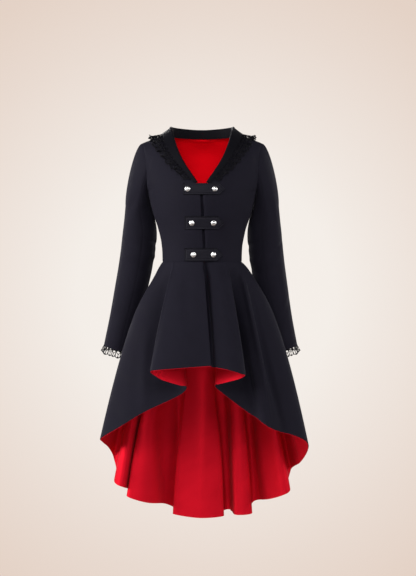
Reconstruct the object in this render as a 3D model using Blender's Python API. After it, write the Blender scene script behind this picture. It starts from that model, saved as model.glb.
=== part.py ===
"""Fitted coat with a high-low skirt, filled out as it is worn, with no wearer.

Metres, +Z up. The front faces -Y and the wearer's left is +X. The origin is the middle of
the neck opening, level with the two points where the shoulder seams meet the collar, so the
wearer's shoulders carry the coat there.

Every cloth piece is a wall: a grid laid on a surface function and given its thickness along
the surface's normal. Neighbouring pieces use the same functions and stop SEAM apart.
"""
import bmesh
import bpy
import numpy as np
from mathutils import Matrix, Vector

SEAM = 0.0003
CLOTH_THICK = 0.0016
LINING_THICK = 0.0008
COLLAR_THICK = 0.0020
LACE_THICK = 0.0010
TAB_THICK = 0.0020

WAIST_Z = -0.383
BREAK_Z = -0.163
ARMPIT_Z = -0.182
NECK_HALF = 0.091
NECK_POINT_Z = -0.003
BACK_NECK_Z = -0.014
SHOULDER_HALF = 0.180
SHOULDER_TIP_HALF = 0.177
SHOULDER_SLOPE = 0.42
SHOULDER_Y = 0.024
SHOULDER_ROUND = 0.090
BUST_V = 0.55

# Sections of the bodice. Columns: z, half width, depth in front, depth behind.
TORSO = np.array([
    (-0.420, 0.115, 0.088, 0.080),
    (-0.383, 0.115, 0.088, 0.080),
    (-0.342, 0.1165, 0.093, 0.082),
    (-0.290, 0.1260, 0.104, 0.089),
    (-0.240, 0.140, 0.117, 0.096),
    (-0.195, 0.153, 0.124, 0.100),
    (-0.150, 0.166, 0.119, 0.100),
    (-0.110, 0.174, 0.107, 0.097),
    (-0.060, 0.180, 0.090, 0.090),
    (-0.030, 0.180, 0.083, 0.087),
    (0.060, 0.180, 0.070, 0.082),
])

# Neck edge of each front, from the break up to the shoulder. Columns: z, distance from centre.
NECK_EDGE = np.array([
    (-0.163, 0.0155),
    (-0.141, 0.0310),
    (-0.115, 0.0485),
    (-0.087, 0.0645),
    (-0.052, 0.079),
    (-0.0245, 0.0875),
    (-0.003, 0.091),
])

# Closing edge of each front below the break. Columns: z, right front, left front, both as
# distances from the centre towards the front's own side.
CLOSING_EDGE = np.array([
    (-0.383, -0.004, -0.014),
    (-0.195, 0.005, -0.016),
    (-0.163, 0.0155, 0.0155),
])
UNDERLAP_DEPTH = CLOTH_THICK + LINING_THICK + 7 * SEAM
UNDERLAP_FULL = 0.005
UNDERLAP_FADE = 0.014

# How far the armhole edge cuts in from the side seam line, in degrees round the body.
ARMHOLE_TIP = 10.5
ARMHOLE_DIP = 17.0

# Middle line of the arm from the cuff up. Columns: z, x, y, half width, half depth.
ARM = np.array([
    (-0.634, 0.2475, 0.114, 0.0405, 0.0385),
    (-0.552, 0.2285, 0.098, 0.0425, 0.0410),
    (-0.470, 0.2120, 0.083, 0.0450, 0.0440),
    (-0.375, 0.1945, 0.068, 0.0472, 0.0465),
    (-0.290, 0.1842, 0.047, 0.0475, 0.0490),
    (-0.215, 0.1868, 0.025, 0.0350, 0.0505),
])
ARM_SWING = 0.005
CAP_V = 0.30
CAP_GAP = 0.0008
CAP_REACH = 0.042
CAP_DROP = 0.070

# Fold lines of the skirt, from the right front's closing edge round the back to the left
# front's. Each runs from the waist seam to the hem. Columns: angle at the waist from centre
# front towards the wearer's right, x, y and z at the hem, and how the line leaves the waist
# (1 is straight, less flares out sooner).
RIGHT_FRONT_FOLDS = [
    (-2.0, 0.026, -0.190, -0.674, 1.00),
    (22.0, -0.062, -0.197, -0.680, 1.00),
    (39.0, -0.126, -0.186, -0.686, 1.00),
    (46.0, -0.144, -0.166, -0.692, 0.98),
    (50.0, -0.118, -0.144, -0.713, 0.95),
    (53.0, -0.068, -0.122, -0.731, 0.92),
    (56.0, -0.045, -0.100, -0.738, 0.88),
    (60.0, -0.066, -0.080, -0.764, 0.84),
    (68.0, -0.165, -0.070, -0.812, 0.76),
    (79.0, -0.240, -0.048, -0.858, 0.65),
]
RIGHT_SIDE_FOLD = [(90.0, -0.293, -0.002, -0.892, 0.58)]
BACK_FOLDS = [
    (98.0, -0.294, 0.055, -0.908, 0.68),
    (104.0, -0.281, 0.120, -0.930, 0.74),
    (109.0, -0.268, 0.158, -0.960, 0.74),
    (115.0, -0.255, 0.152, -1.000, 0.74),
    (121.0, -0.259, 0.118, -1.033, 0.74),
    (127.0, -0.234, 0.104, -1.047, 0.73),
    (133.0, -0.218, 0.168, -1.060, 0.71),
    (138.0, -0.208, 0.158, -1.069, 0.69),
    (143.0, -0.221, 0.114, -1.076, 0.67),
    (149.0, -0.166, 0.116, -1.094, 0.65),
    (155.0, -0.112, 0.178, -1.106, 0.63),
    (160.0, -0.079, 0.212, -1.126, 0.60),
    (164.5, -0.068, 0.192, -1.132, 0.60),
    (169.0, -0.084, 0.162, -1.135, 0.60),
    (180.0, -0.008, 0.146, -1.144, 0.60),
    (191.0, 0.060, 0.162, -1.141, 0.60),
    (196.0, 0.052, 0.200, -1.136, 0.60),
    (201.0, 0.076, 0.231, -1.132, 0.60),
    (206.0, 0.091, 0.206, -1.132, 0.60),
    (212.0, 0.103, 0.163, -1.137, 0.60),
    (218.0, 0.146, 0.168, -1.134, 0.60),
    (223.0, 0.141, 0.212, -1.122, 0.62),
    (228.0, 0.160, 0.230, -1.104, 0.65),
    (234.0, 0.204, 0.168, -1.090, 0.69),
    (241.0, 0.240, 0.116, -1.072, 0.72),
    (247.0, 0.259, 0.122, -1.058, 0.74),
    (252.0, 0.255, 0.152, -1.032, 0.74),
    (256.0, 0.268, 0.164, -0.999, 0.74),
    (261.0, 0.292, 0.100, -0.972, 0.72),
    (265.0, 0.308, 0.040, -0.936, 0.60),
]
LEFT_SIDE_FOLD = [(270.0, 0.306, -0.004, -0.906, 0.50)]
LEFT_FRONT_FOLDS = [
    (279.0, 0.272, -0.038, -0.884, 0.53),
    (287.0, 0.216, -0.060, -0.866, 0.54),
    (294.0, 0.182, -0.088, -0.848, 0.56),
    (301.0, 0.128, -0.066, -0.811, 0.66),
    (309.0, 0.060, -0.080, -0.758, 0.82),
    (313.0, 0.038, -0.098, -0.735, 0.88),
    (316.0, 0.060, -0.120, -0.726, 0.92),
    (319.0, 0.104, -0.146, -0.713, 0.95),
    (322.5, 0.121, -0.168, -0.702, 0.98),
    (329.0, 0.106, -0.184, -0.695, 1.00),
    (342.0, 0.072, -0.188, -0.685, 1.00),
    (355.0, 0.034, -0.180, -0.678, 1.00),
    (364.0, 0.010, -0.166, -0.676, 1.00),
]
SKIRT_FOLDS = np.array(RIGHT_FRONT_FOLDS + RIGHT_SIDE_FOLD + BACK_FOLDS
                       + LEFT_SIDE_FOLD + LEFT_FRONT_FOLDS)
RIGHT_SEAM = len(RIGHT_FRONT_FOLDS)
LEFT_SEAM = RIGHT_SEAM + len(BACK_FOLDS) + 1
LAST_FOLD = len(SKIRT_FOLDS) - 1
FOLD_WINDOW = np.linspace(-3.0, 3.0, 9)
FRONT_FOLD_START = 0.16
BACK_FOLD_START = 0.88
FOLD_BOW = 0.0042
SKIRT_ROWS = np.array([0.0, 0.09, 0.28, 0.50, 0.72, 1.0])

# The shawl collar from the break (0) over the shoulder (0.5) to centre back (1). Columns:
# place, height of the stand, width of the fall on the bodice, reach of the inner leg, width of
# the lace.
COLLAR = np.array([
    (0.00, 0.0016, 0.005, 0.005, 0.022),
    (0.12, 0.0016, 0.012, 0.006, 0.027),
    (0.27, 0.0024, 0.019, 0.007, 0.034),
    (0.40, 0.008, 0.023, 0.010, 0.038),
    (0.50, 0.012, 0.027, 0.013, 0.040),
    (0.75, 0.015, 0.025, 0.009, 0.039),
    (1.00, 0.016, 0.023, 0.006, 0.038),
])
COLLAR_INNER = CLOTH_THICK + LINING_THICK + 0.0012 + COLLAR_THICK / 2
COLLAR_OUTER = 0.0022 + COLLAR_THICK / 2
LACE_WAVES = 18
LACE_LIFT = 0.0055
CUFF_LACE_LENGTH = 0.024
CUFF_LACE_WAVES = 5

# The closing tabs. Columns: middle z, height, left end x, pointed end x, then the buttons' x.
TABS = {
    "top": (-0.1785, 0.030, -0.051, 0.0635, -0.0395, 0.0353),
    "middle": (-0.2730, 0.034, -0.048, 0.0610, -0.0283, 0.0317),
    "bottom": (-0.3630, 0.034, -0.048, 0.0570, -0.0233, 0.0312),
}
TAB_POINT = 0.016
TAB_LIFT = 0.0009
BUTTON_RADIUS = 0.0075
BUTTON_HEIGHT = 0.0052
BUTTON_RIM = 0.0016

for old in list(bpy.data.objects):
    bpy.data.objects.remove(old)


def finish(name, colour, roughness, metallic=0.0):
    """One Principled material."""
    made = bpy.data.materials.new(name)
    made.use_nodes = True
    shader = made.node_tree.nodes["Principled BSDF"]
    shader.inputs["Base Color"].default_value = (*colour, 1.0)
    shader.inputs["Roughness"].default_value = roughness
    shader.inputs["Metallic"].default_value = metallic
    return made


def smooth(table, at):
    """Values of a table's columns at places along its first column, on a smooth curve."""
    knots = table[:, 0]
    values = table[:, 1:]
    slopes = np.gradient(values, knots, axis=0)
    at = np.clip(at, knots[0], knots[-1])
    cell = np.clip(np.searchsorted(knots, at) - 1, 0, len(knots) - 2)
    span = (knots[cell + 1] - knots[cell])[:, None]
    t = (at - knots[cell])[:, None] / span
    start = (1 + 2 * t) * (1 - t) ** 2 * values[cell] + t * (1 - t) ** 2 * span * slopes[cell]
    end = t * t * (3 - 2 * t) * values[cell + 1] + t * t * (t - 1) * span * slopes[cell + 1]
    return start + end


def fade(t):
    """A soft step from 0 to 1."""
    t = np.clip(t, 0.0, 1.0)
    return t * t * (3 - 2 * t)


def ridge_z(x):
    """Height of the shoulder line at a distance from the centre, rounded off inside the neck."""
    inside = np.minimum(np.abs(x), NECK_HALF)
    crown = SHOULDER_SLOPE * (NECK_HALF ** 2 - inside ** 2) / (2 * NECK_HALF)
    return NECK_POINT_Z + crown - SHOULDER_SLOPE * (np.abs(x) - inside)


def torso(face, sine, z):
    """The bodice's outer surface, in front (face -1) or behind (+1). sine is x over the half
    width there, and the cloth rounds over the shoulder line."""
    half, front, behind = smooth(TORSO, z).T
    drop = np.clip(ridge_z(SHOULDER_HALF * sine) - z, 0.0, SHOULDER_ROUND)
    rise = np.sqrt(1.0 - (1.0 - drop / SHOULDER_ROUND) ** 2)
    depth = face * np.where(face < 0, front, behind)
    cosine = np.sqrt(np.clip(1.0 - sine * sine, 0.0, 1.0))
    y = cosine * (SHOULDER_Y * (1.0 - rise) + depth * rise)
    return np.stack([half * sine, y, z], axis=1)


def armhole(turn):
    """Edge of the armhole, by a turn in degrees from the shoulder tip down to the armpit.
    Gives sine and z."""
    turn = np.radians(turn)
    tip_z = ridge_z(SHOULDER_TIP_HALF)
    dip = ARMHOLE_TIP * (1 + np.cos(turn)) / 2 + ARMHOLE_DIP * np.sin(turn)
    z = (tip_z + ARMPIT_Z) / 2 + (tip_z - ARMPIT_Z) / 2 * np.cos(turn)
    return np.cos(np.radians(dip)), z


def front_panel(side, u, v):
    """Front bodice from the closing and neck edge (u 0) to the side seam and armhole (u 1),
    and from the waist (v 0) up to the shoulder seam (v 1)."""
    upper = np.clip((1.0 - v) / (1.0 - BUST_V), 0.0, 1.0)
    low = np.clip(v / BUST_V, 0.0, 1.0)
    below = v < BUST_V
    neck_z = NECK_POINT_Z + (BREAK_Z - NECK_POINT_Z) * (1.0 - np.cos(upper * np.pi / 2))
    edge_z = np.where(below, WAIST_Z + (BREAK_Z - WAIST_Z) * low, neck_z)
    closing = np.interp(edge_z, CLOSING_EDGE[:, 0], CLOSING_EDGE[:, 1 if side < 0 else 2])
    edge_x = np.where(below, closing, smooth(NECK_EDGE, neck_z)[:, 0])
    hole_sine, hole_z = armhole(180.0 * upper)
    side_z = np.where(below, WAIST_Z + (ARMPIT_Z - WAIST_Z) * low, hole_z)
    edge_angle = np.arcsin(edge_x / smooth(TORSO, edge_z)[:, 0])
    side_angle = np.where(below, np.pi / 2, np.arcsin(hole_sine))
    sine = np.sin(edge_angle + (side_angle - edge_angle) * u)
    share = (sine - np.sin(edge_angle)) / (np.sin(side_angle) - np.sin(edge_angle))
    points = torso(-1.0, sine, edge_z + (side_z - edge_z) * share)
    points[:, 0] *= side
    return points


def under_front(points):
    """How deep the left front lies so that the right front laps over it."""
    return -UNDERLAP_DEPTH * (1.0 - fade((points[:, 0] - UNDERLAP_FULL) / UNDERLAP_FADE))


def back_panel(u, v):
    """Back bodice from the right side seam (u -1) to the left one (u 1)."""
    upper = np.clip((1.0 - v) / (1.0 - BUST_V), 0.0, 1.0)
    low = np.clip(v / BUST_V, 0.0, 1.0)
    below = v < BUST_V
    hole_sine, _ = armhole(180.0 * upper)
    side_angle = np.where(below, np.pi / 2, np.arcsin(hole_sine))
    neck_angle = np.arcsin(NECK_HALF / SHOULDER_HALF)
    across = np.abs(u)
    out = np.clip((across - 0.3) / 0.7, 0.0, 1.0)
    inward = np.clip(across / 0.3, 0.0, 1.0)
    angle = np.where(across < 0.3, neck_angle * inward, neck_angle + (side_angle - neck_angle) * out)
    sine = np.sin(angle)
    neck_curve = BACK_NECK_Z + (NECK_POINT_Z - BACK_NECK_Z) * inward ** 2
    top_z = np.where(across < 0.3, neck_curve, ridge_z(SHOULDER_HALF * sine))
    fall = 1.0 - np.cos(upper * np.pi / 2)
    hole_fall = (1.0 - np.cos(upper * np.pi)) / 2
    high_z = top_z + (ARMPIT_Z - top_z) * (fall + (hole_fall - fall) * out)
    z = np.where(below, WAIST_Z + (ARMPIT_Z - WAIST_Z) * low, high_z)
    return torso(1.0, sine * np.sign(u), z)


def fold_line(u):
    """The fold lines' columns at any place between them."""
    knots = np.arange(len(SKIRT_FOLDS), dtype=float)
    return smooth(np.column_stack([knots, SKIRT_FOLDS]), u)


def skirt(u, v):
    """The skirt by fold line number u, from the waist (v 0) to the hem (v 1). Near the waist
    the folds open out into the plain flare that runs through the middle of them."""
    angle, hem_x, hem_y, hem_z, flare = fold_line(u).T
    plain = np.mean([fold_line(u + shift)[:, 1:3] for shift in FOLD_WINDOW], axis=0)
    behind_sides = fade((u - RIGHT_SEAM + 1) / 3) * fade((LEFT_SEAM + 1 - u) / 3)
    folded = fade(v / (FRONT_FOLD_START + (BACK_FOLD_START - FRONT_FOLD_START) * behind_sides))
    hem_x = plain[:, 0] + (hem_x - plain[:, 0]) * folded
    hem_y = plain[:, 1] + (hem_y - plain[:, 1]) * folded
    turn = np.radians(angle)
    _, half, front, behind = TORSO[1]
    depth = np.where(np.cos(turn) > 0, front, behind)
    waist_x = -half * np.sin(turn)
    waist_y = -depth * np.cos(turn)
    soft = 0.012
    out = ((v + soft) ** flare - soft ** flare) / ((1 + soft) ** flare - soft ** flare)
    under = UNDERLAP_DEPTH * fade((u - LAST_FOLD + 2.6) / 1.4) * (1.0 - out)
    x = waist_x + (hem_x - waist_x) * out
    y = waist_y + (hem_y - waist_y) * out + under
    z = WAIST_Z + (hem_z - WAIST_Z) * v
    return np.stack([x, y, z], axis=1)


def arm_ring(z, turn, grow=0.0, along=0.0):
    """A ring square to the arm's middle line: turn 0 is outwards, 90 is to the front."""
    x, y, half, depth = smooth(ARM, z).T
    step = 0.004
    low = np.clip(z - step, ARM[0, 0], ARM[-1, 0])
    high = np.clip(z + step, ARM[0, 0], ARM[-1, 0])
    slope = (smooth(ARM, low) - smooth(ARM, high))[:, :2] / (high - low)[:, None]
    axis = np.column_stack([slope, -np.ones_like(z)])
    axis /= np.linalg.norm(axis, axis=1)[:, None]
    outward = np.array([1.0, 0.0, 0.0]) - axis * axis[:, :1]
    outward /= np.linalg.norm(outward, axis=1)[:, None]
    forward = np.cross(axis, outward)
    turn = np.radians(turn)
    middle = np.stack([x, y, z], axis=1) + axis * np.reshape(along, (-1, 1))
    ring = outward * ((half + grow) * np.cos(turn))[:, None]
    ring += forward * ((depth + grow) * np.sin(turn))[:, None]
    return middle + ring, axis


def sleeve(side, u, v):
    """Sleeve from the armhole (v 0) to the cuff (v 1), round from the underarm (u 0 and 1)."""
    turn = 180.0 + 360.0 * u
    around = np.mod(turn, 360.0)
    behind = around > 180.0
    hole_sine, hole_z = armhole(np.where(behind, 360.0 - around, around))
    start = torso(np.where(behind, 1.0, -1.0), hole_sine, hole_z)
    start[:, 0] += CAP_GAP
    lean = np.cos(np.radians(turn))[:, None]
    leave = np.array([0.65, 0.0, -0.62]) + np.array([0.35, 0.0, 0.37]) * lean
    leave = leave * CAP_REACH * (1.0 + 0.6 * lean)
    top_z = np.full_like(v, ARM[-1, 0])
    end, axis = arm_ring(top_z, turn)
    arrive = axis * CAP_DROP * (1.0 + 0.78 * lean)
    t = np.clip(v / CAP_V, 0.0, 1.0)[:, None]
    cap = (1 + 2 * t) * (1 - t) ** 2 * start + t * (1 - t) ** 2 * leave
    cap = cap + t * t * (3 - 2 * t) * end + t * t * (t - 1) * arrive
    down = np.clip((v - CAP_V) / (1 - CAP_V), 0.0, 1.0)
    tube, _ = arm_ring(ARM[-1, 0] + (ARM[0, 0] - ARM[-1, 0]) * down, turn)
    points = np.where((v < CAP_V)[:, None], cap, tube)
    points[:, 0] += -side * ARM_SWING * fade((-0.25 - points[:, 2]) / 0.40)
    points[:, 0] *= side
    return points


def cuff_lace(side, u, v):
    """Lace ruffle below the cuff edge, flaring and waving more towards its free edge."""
    turn = 180.0 + 360.0 * u
    wave = np.cos(2 * np.pi * CUFF_LACE_WAVES * u)
    grow = -0.0006 + v * (0.004 + 0.003 * wave)
    low_z = np.full_like(v, ARM[0, 0])
    points, _ = arm_ring(low_z, turn, grow, 0.0004 + CUFF_LACE_LENGTH * v)
    points[:, 0] += -side * ARM_SWING * fade((-0.25 - ARM[0, 0]) / 0.40)
    points[:, 0] *= side
    return points


def over_shoulder(side, x, turn):
    """Bodice surface by distance from the centre and a turn over the shoulder line, which is
    negative in front, in radians until the cloth hangs straight and then in the same step."""
    bend = np.minimum(np.abs(turn), np.pi / 2)
    drop = SHOULDER_ROUND * (1.0 - np.cos(bend) + np.maximum(np.abs(turn) - np.pi / 2, 0.0))
    z = ridge_z(x) - drop
    points = torso(np.where(turn < 0, -1.0, 1.0), x / SHOULDER_HALF, z)
    points[:, 0] *= side
    return points


def neck_line(place):
    """The bodice's neck edge from the break (0) over the shoulder (0.5) to centre back (1),
    as distance from the centre and turn over the shoulder line."""
    upper = np.clip(1.0 - 2.0 * place, 0.0, 1.0)
    front_z = NECK_POINT_Z + (BREAK_Z - NECK_POINT_Z) * (1.0 - np.cos(upper * np.pi / 2))
    front_half = smooth(TORSO, front_z)[:, 0]
    front_x = smooth(NECK_EDGE, front_z)[:, 0] * SHOULDER_HALF / front_half
    inward = np.clip(2.0 - 2.0 * place, 0.0, 1.0)
    back_x = SHOULDER_HALF * np.sin(np.arcsin(NECK_HALF / SHOULDER_HALF) * inward)
    back_z = BACK_NECK_Z + (NECK_POINT_Z - BACK_NECK_Z) * inward ** 2
    in_front = place < 0.5
    x = np.where(in_front, front_x, back_x)
    drop = (ridge_z(x) - np.where(in_front, front_z, back_z)) / SHOULDER_ROUND
    turn = np.arccos(1.0 - np.clip(drop, 0.0, 1.0)) + np.maximum(drop - 1.0, 0.0)
    return x, np.where(in_front, -turn, turn)


def on_fall(u, reach):
    """A point on the bodice at a distance from the neck edge, under the collar's fall, with
    the normal there. u runs from the right break (0) to the left break (2)."""
    side = np.where(u < 1.0, -1.0, 1.0)
    place = np.where(u < 1.0, u, 2.0 - u)
    x, turn = neck_line(place)
    swing = np.clip(2.0 * place - 1.0, 0.0, 1.0) * np.pi / 2

    def at(distance, shift):
        return over_shoulder(side, x + distance * np.cos(swing),
                             turn + (distance * np.sin(swing) + shift) / SHOULDER_ROUND)

    step = 0.001
    point = at(reach, 0.0)
    across = at(reach + step, 0.0) - at(reach - step, 0.0)
    skew = np.where(place < 0.5, 1.0, np.cos(swing))
    along = at(reach, step * skew) - at(reach, -step * skew)
    wide = over_shoulder(side, x + reach * np.cos(swing) + step,
                         turn + reach * np.sin(swing) / SHOULDER_ROUND) - point
    along = np.where((np.abs(skew) < 0.5)[:, None], wide, along)
    normal = np.cross(across, along)
    normal /= np.linalg.norm(normal, axis=1)[:, None]
    out = point - np.array([0.0, 0.02, -0.30])
    normal *= np.sign(np.sum(normal * out, axis=1))[:, None]
    return point, normal


def collar(u, v):
    """Middle of the collar's cloth: the inner leg, the roll, then the fall on the bodice."""
    place = np.where(u < 1.0, u, 2.0 - u)
    stand, width, reach, _ = smooth(COLLAR, place).T
    edge, normal = on_fall(u, np.zeros_like(u))
    inside, _ = on_fall(u, np.full_like(u, 0.003))
    away = edge - inside
    away /= np.linalg.norm(away, axis=1)[:, None]
    upright = fade((place - 0.15) / 0.30)[:, None]
    away = away * (1 - upright) + np.array([0.0, 0.0, 1.0]) * upright
    away -= normal * np.sum(away * normal, axis=1)[:, None] * (1 - upright)
    away /= np.linalg.norm(away, axis=1)[:, None]
    hold = np.where((place > 0.3)[:, None], normal * (1 - upright) + level(normal) * upright, normal)
    hold /= np.linalg.norm(hold, axis=1)[:, None]
    roll = (COLLAR_INNER + COLLAR_OUTER) / 2
    leg = np.clip(v / 0.30, 0.0, 1.0)
    bend = np.clip((v - 0.30) / 0.20, 0.0, 1.0) * np.pi
    down = np.clip((v - 0.50) / 0.50, 0.0, 1.0)
    height = -reach + (stand + reach) * leg
    inner_leg = edge + away * height[:, None] - hold * COLLAR_INNER
    rolled = edge + away * (stand + roll * np.sin(bend))[:, None]
    rolled += hold * (COLLAR_OUTER - roll - roll * np.cos(bend))[:, None]
    under, under_normal = on_fall(u, width * down)
    lift = hold * (1 - down)[:, None] + under_normal * down[:, None]
    fall = under + away * (stand * (1 - down) ** 2)[:, None] + lift * COLLAR_OUTER
    return np.where((v < 0.30)[:, None], inner_leg, np.where((v < 0.50)[:, None], rolled, fall))


def level(vectors):
    """The same directions laid level."""
    flat = vectors * np.array([1.0, 1.0, 0.0])
    return flat / np.maximum(np.linalg.norm(flat, axis=1), 1e-6)[:, None]


def collar_lace(u, v):
    """Lace ruffle beyond the collar's outer edge, waving more towards its free edge."""
    place = np.where(u < 1.0, u, 2.0 - u)
    _, width, _, lace = smooth(COLLAR, place).T
    point, normal = on_fall(u, width + 0.0012 + lace * v)
    wave = 0.5 - 0.5 * np.cos(2 * np.pi * LACE_WAVES * u / 2.0)
    return point + normal * (0.0030 + LACE_LIFT * wave * v)[:, None]


def tab(name, u, v):
    """One closing tab on the bodice front, from its square end to its point."""
    middle_z, height, start_x, end_x = TABS[name][:4]
    x = start_x + (end_x - start_x) * u
    taper = np.clip((end_x - x) / TAB_POINT, 0.06, 1.0)
    corner = 1.0 - 0.10 * (1.0 - np.clip((x - start_x) / 0.004, 0.0, 1.0))
    z = middle_z + height * (v - 0.5) * taper * corner
    return torso(-1.0, x / smooth(TORSO, z)[:, 0], z)


def normals(surface, u, v, u_step, v_step):
    """Tangents along u and v and the normal of a surface function, by small steps that stay
    inside its limits."""
    along_u = surface(u + u_step[0], v) - surface(u - u_step[1], v)
    along_v = surface(u, v + v_step[0]) - surface(u, v - v_step[1])
    along_u /= np.linalg.norm(along_u, axis=1)[:, None]
    along_v /= np.linalg.norm(along_v, axis=1)[:, None]
    normal = np.cross(along_u, along_v)
    return along_u, along_v, normal / np.linalg.norm(normal, axis=1)[:, None]


def wall(name, columns, rows, surface, lifts, look, lift_by=None, goes_on=False, even=False):
    """A closed cloth wall on surface(u, v) between two lifts along its normal, held back half
    a seam from its own edges. A positive lift is along u crossed with v. Where the surface goes
    on past the end columns, both panels at that seam share their normals there, and an even
    seam has the same normal all the way down."""
    mesh = bmesh.new()
    across, up = len(columns) - 1, len(rows) - 1
    bmesh.ops.create_grid(mesh, x_segments=across, y_segments=up, size=0.5)
    bmesh.ops.triangulate(mesh, faces=mesh.faces[:], quad_method="FIXED")
    made = bmesh.ops.extrude_face_region(mesh, geom=mesh.faces[:])
    copies = {vert for vert in made["geom"] if isinstance(vert, bmesh.types.BMVert)}
    verts = list(mesh.verts)
    column = np.array([round((vert.co.x + 0.5) * across) for vert in verts])
    row = np.array([round((vert.co.y + 0.5) * up) for vert in verts])
    u = np.asarray(columns, dtype=float)[column]
    v = np.asarray(rows, dtype=float)[row]
    small_u = 0.001 if goes_on else 0.001 * (columns[-1] - columns[0])
    small_v = 0.001 * (rows[-1] - rows[0])
    end_u = small_u if goes_on else 0.0
    u_step = (np.where(column == across, end_u, small_u), np.where(column == 0, end_u, small_u))
    v_step = (np.where(row == up, 0.0, small_v), np.where(row == 0, 0.0, small_v))
    along_u, along_v, normal = normals(surface, u, v, u_step, v_step)
    if even:
        for end in (0, across):
            normal[column == end] = np.mean(normal[column == end], axis=0)
    points = surface(u, v)
    lift = np.array([lifts[1] if vert in copies else lifts[0] for vert in verts])
    if lift_by is not None:
        lift = lift + lift_by(points)
    inset_u = (column == 0).astype(float) - (column == across)
    inset_v = (row == 0).astype(float) - (row == up)
    points = points + normal * lift[:, None]
    points += (along_u * inset_u[:, None] + along_v * inset_v[:, None]) * SEAM / 2
    for vert, point in zip(verts, points):
        vert.co = point
    bmesh.ops.recalc_face_normals(mesh, faces=mesh.faces[:])
    add(name, mesh, look)


def add(name, mesh, look):
    """Put a finished mesh into the scene as one named piece."""
    data = bpy.data.meshes.new(name)
    mesh.to_mesh(data)
    mesh.free()
    data.materials.append(look)
    piece = bpy.data.objects.new(name, data)
    bpy.context.scene.collection.objects.link(piece)


def fold_columns(first, last):
    """Places along the skirt at each fold line, and halfway where the hem bends between."""
    places = []
    for fold in range(first, last):
        start, middle, end = skirt(np.array([fold, fold + 0.5, fold + 1.0]), np.ones(3))
        places.append(float(fold))
        if np.linalg.norm(middle - (start + end) / 2) > FOLD_BOW:
            places.append(fold + 0.5)
    return np.array(places + [float(last)])


TWILL = finish("black twill", (0.014, 0.013, 0.018), 0.75)
SATIN = finish("red satin", (0.40, 0.004, 0.010), 0.38)
LACE = finish("black lace", (0.006, 0.006, 0.007), 0.80)
SILVER = finish("silver metal", (0.72, 0.71, 0.69), 0.22, 1.0)

OUTER = (-CLOTH_THICK, 0.0)
LINING_OUT = CLOTH_THICK + SEAM
LINED = (-LINING_OUT - LINING_THICK, -LINING_OUT)

FRONT_COLUMNS = np.linspace(0.0, 1.0, 9)
FRONT_ROWS = np.concatenate([np.linspace(0.0, BUST_V, 6), np.linspace(BUST_V, 1.0, 8)[1:]])
wall("front_bodice_right", FRONT_COLUMNS, FRONT_ROWS,
     lambda u, v: front_panel(-1.0, 1.0 - u, v), OUTER, TWILL)
wall("front_bodice_left", FRONT_COLUMNS, FRONT_ROWS,
     lambda u, v: front_panel(1.0, u, v), OUTER, TWILL, under_front)

NECK_COLUMNS = 0.3 * np.sin(np.linspace(-np.pi / 2, np.pi / 2, 9))
BACK_COLUMNS = np.concatenate([np.linspace(-1.0, -0.3, 5)[:-1], NECK_COLUMNS,
                               np.linspace(0.3, 1.0, 5)[1:]])
BACK_ROWS = np.concatenate([np.linspace(0.0, BUST_V, 5), np.linspace(BUST_V, 1.0, 7)[1:]])
wall("back_bodice", BACK_COLUMNS, BACK_ROWS, lambda u, v: back_panel(-u, v), OUTER, TWILL)
wall("lining_bodice_back", BACK_COLUMNS, BACK_ROWS[:-1],
     lambda u, v: back_panel(-u, v), LINED, SATIN)

SLEEVE_CELLS = 14
SLEEVE_PANELS = {"upper": (4, 11), "under": (11, 18)}
SLEEVE_ROWS = np.concatenate([np.linspace(0.0, CAP_V, 6), np.linspace(CAP_V, 1.0, 7)[1:]])
CUFF_COLUMNS = np.linspace(0.0, 1.0, 4 * CUFF_LACE_WAVES + 1)
for word, side in (("right", -1.0), ("left", 1.0)):
    outward = OUTER if side > 0 else (0.0, CLOTH_THICK)
    for panel, (first, last) in SLEEVE_PANELS.items():
        wall("sleeve_" + panel + "_" + word, np.arange(first, last + 1) / SLEEVE_CELLS,
             SLEEVE_ROWS, lambda u, v, side=side: sleeve(side, u, v), outward, TWILL,
             goes_on=True)
    wall("lace_cuff_" + word, CUFF_COLUMNS, [0.0, 1.0],
         lambda u, v, side=side: cuff_lace(side, u, v), (-LACE_THICK, 0.0), LACE)

SKIRT_PANELS = {
    "skirt_front_right": (0, RIGHT_SEAM),
    "skirt_back": (RIGHT_SEAM, LEFT_SEAM),
    "skirt_front_left": (LEFT_SEAM, LAST_FOLD),
}
for name, (first, last) in SKIRT_PANELS.items():
    places = fold_columns(first, last)
    wall(name, places, SKIRT_ROWS, skirt, OUTER, TWILL, goes_on=True, even=True)
    rows = np.append(SKIRT_ROWS[:-1], 0.995)
    wall("lining_" + name, places, rows, skirt, LINED, SATIN, goes_on=True, even=True)

BACK_PLACES = 1.0 - 0.5 * np.sin(np.linspace(np.pi / 2, 0.0, 7))
HALF_PLACES = np.concatenate([np.linspace(0.006, 0.5, 9)[:-1], BACK_PLACES])
COLLAR_PLACES = {"right": HALF_PLACES, "left": 2.0 - HALF_PLACES[::-1]}
COLLAR_ACROSS = np.array([0.0, 0.15, 0.30, 0.367, 0.433, 0.50, 0.62, 0.80, 1.0])
for word, places in COLLAR_PLACES.items():
    wall("collar_" + word, places, COLLAR_ACROSS, collar,
         (-COLLAR_THICK / 2, COLLAR_THICK / 2), TWILL, goes_on=True)
wall("lace_collar", np.linspace(0.03, 1.97, 4 * LACE_WAVES + 1), [0.0, 1.0], collar_lace,
     (-LACE_THICK / 2, LACE_THICK / 2), LACE)

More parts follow.
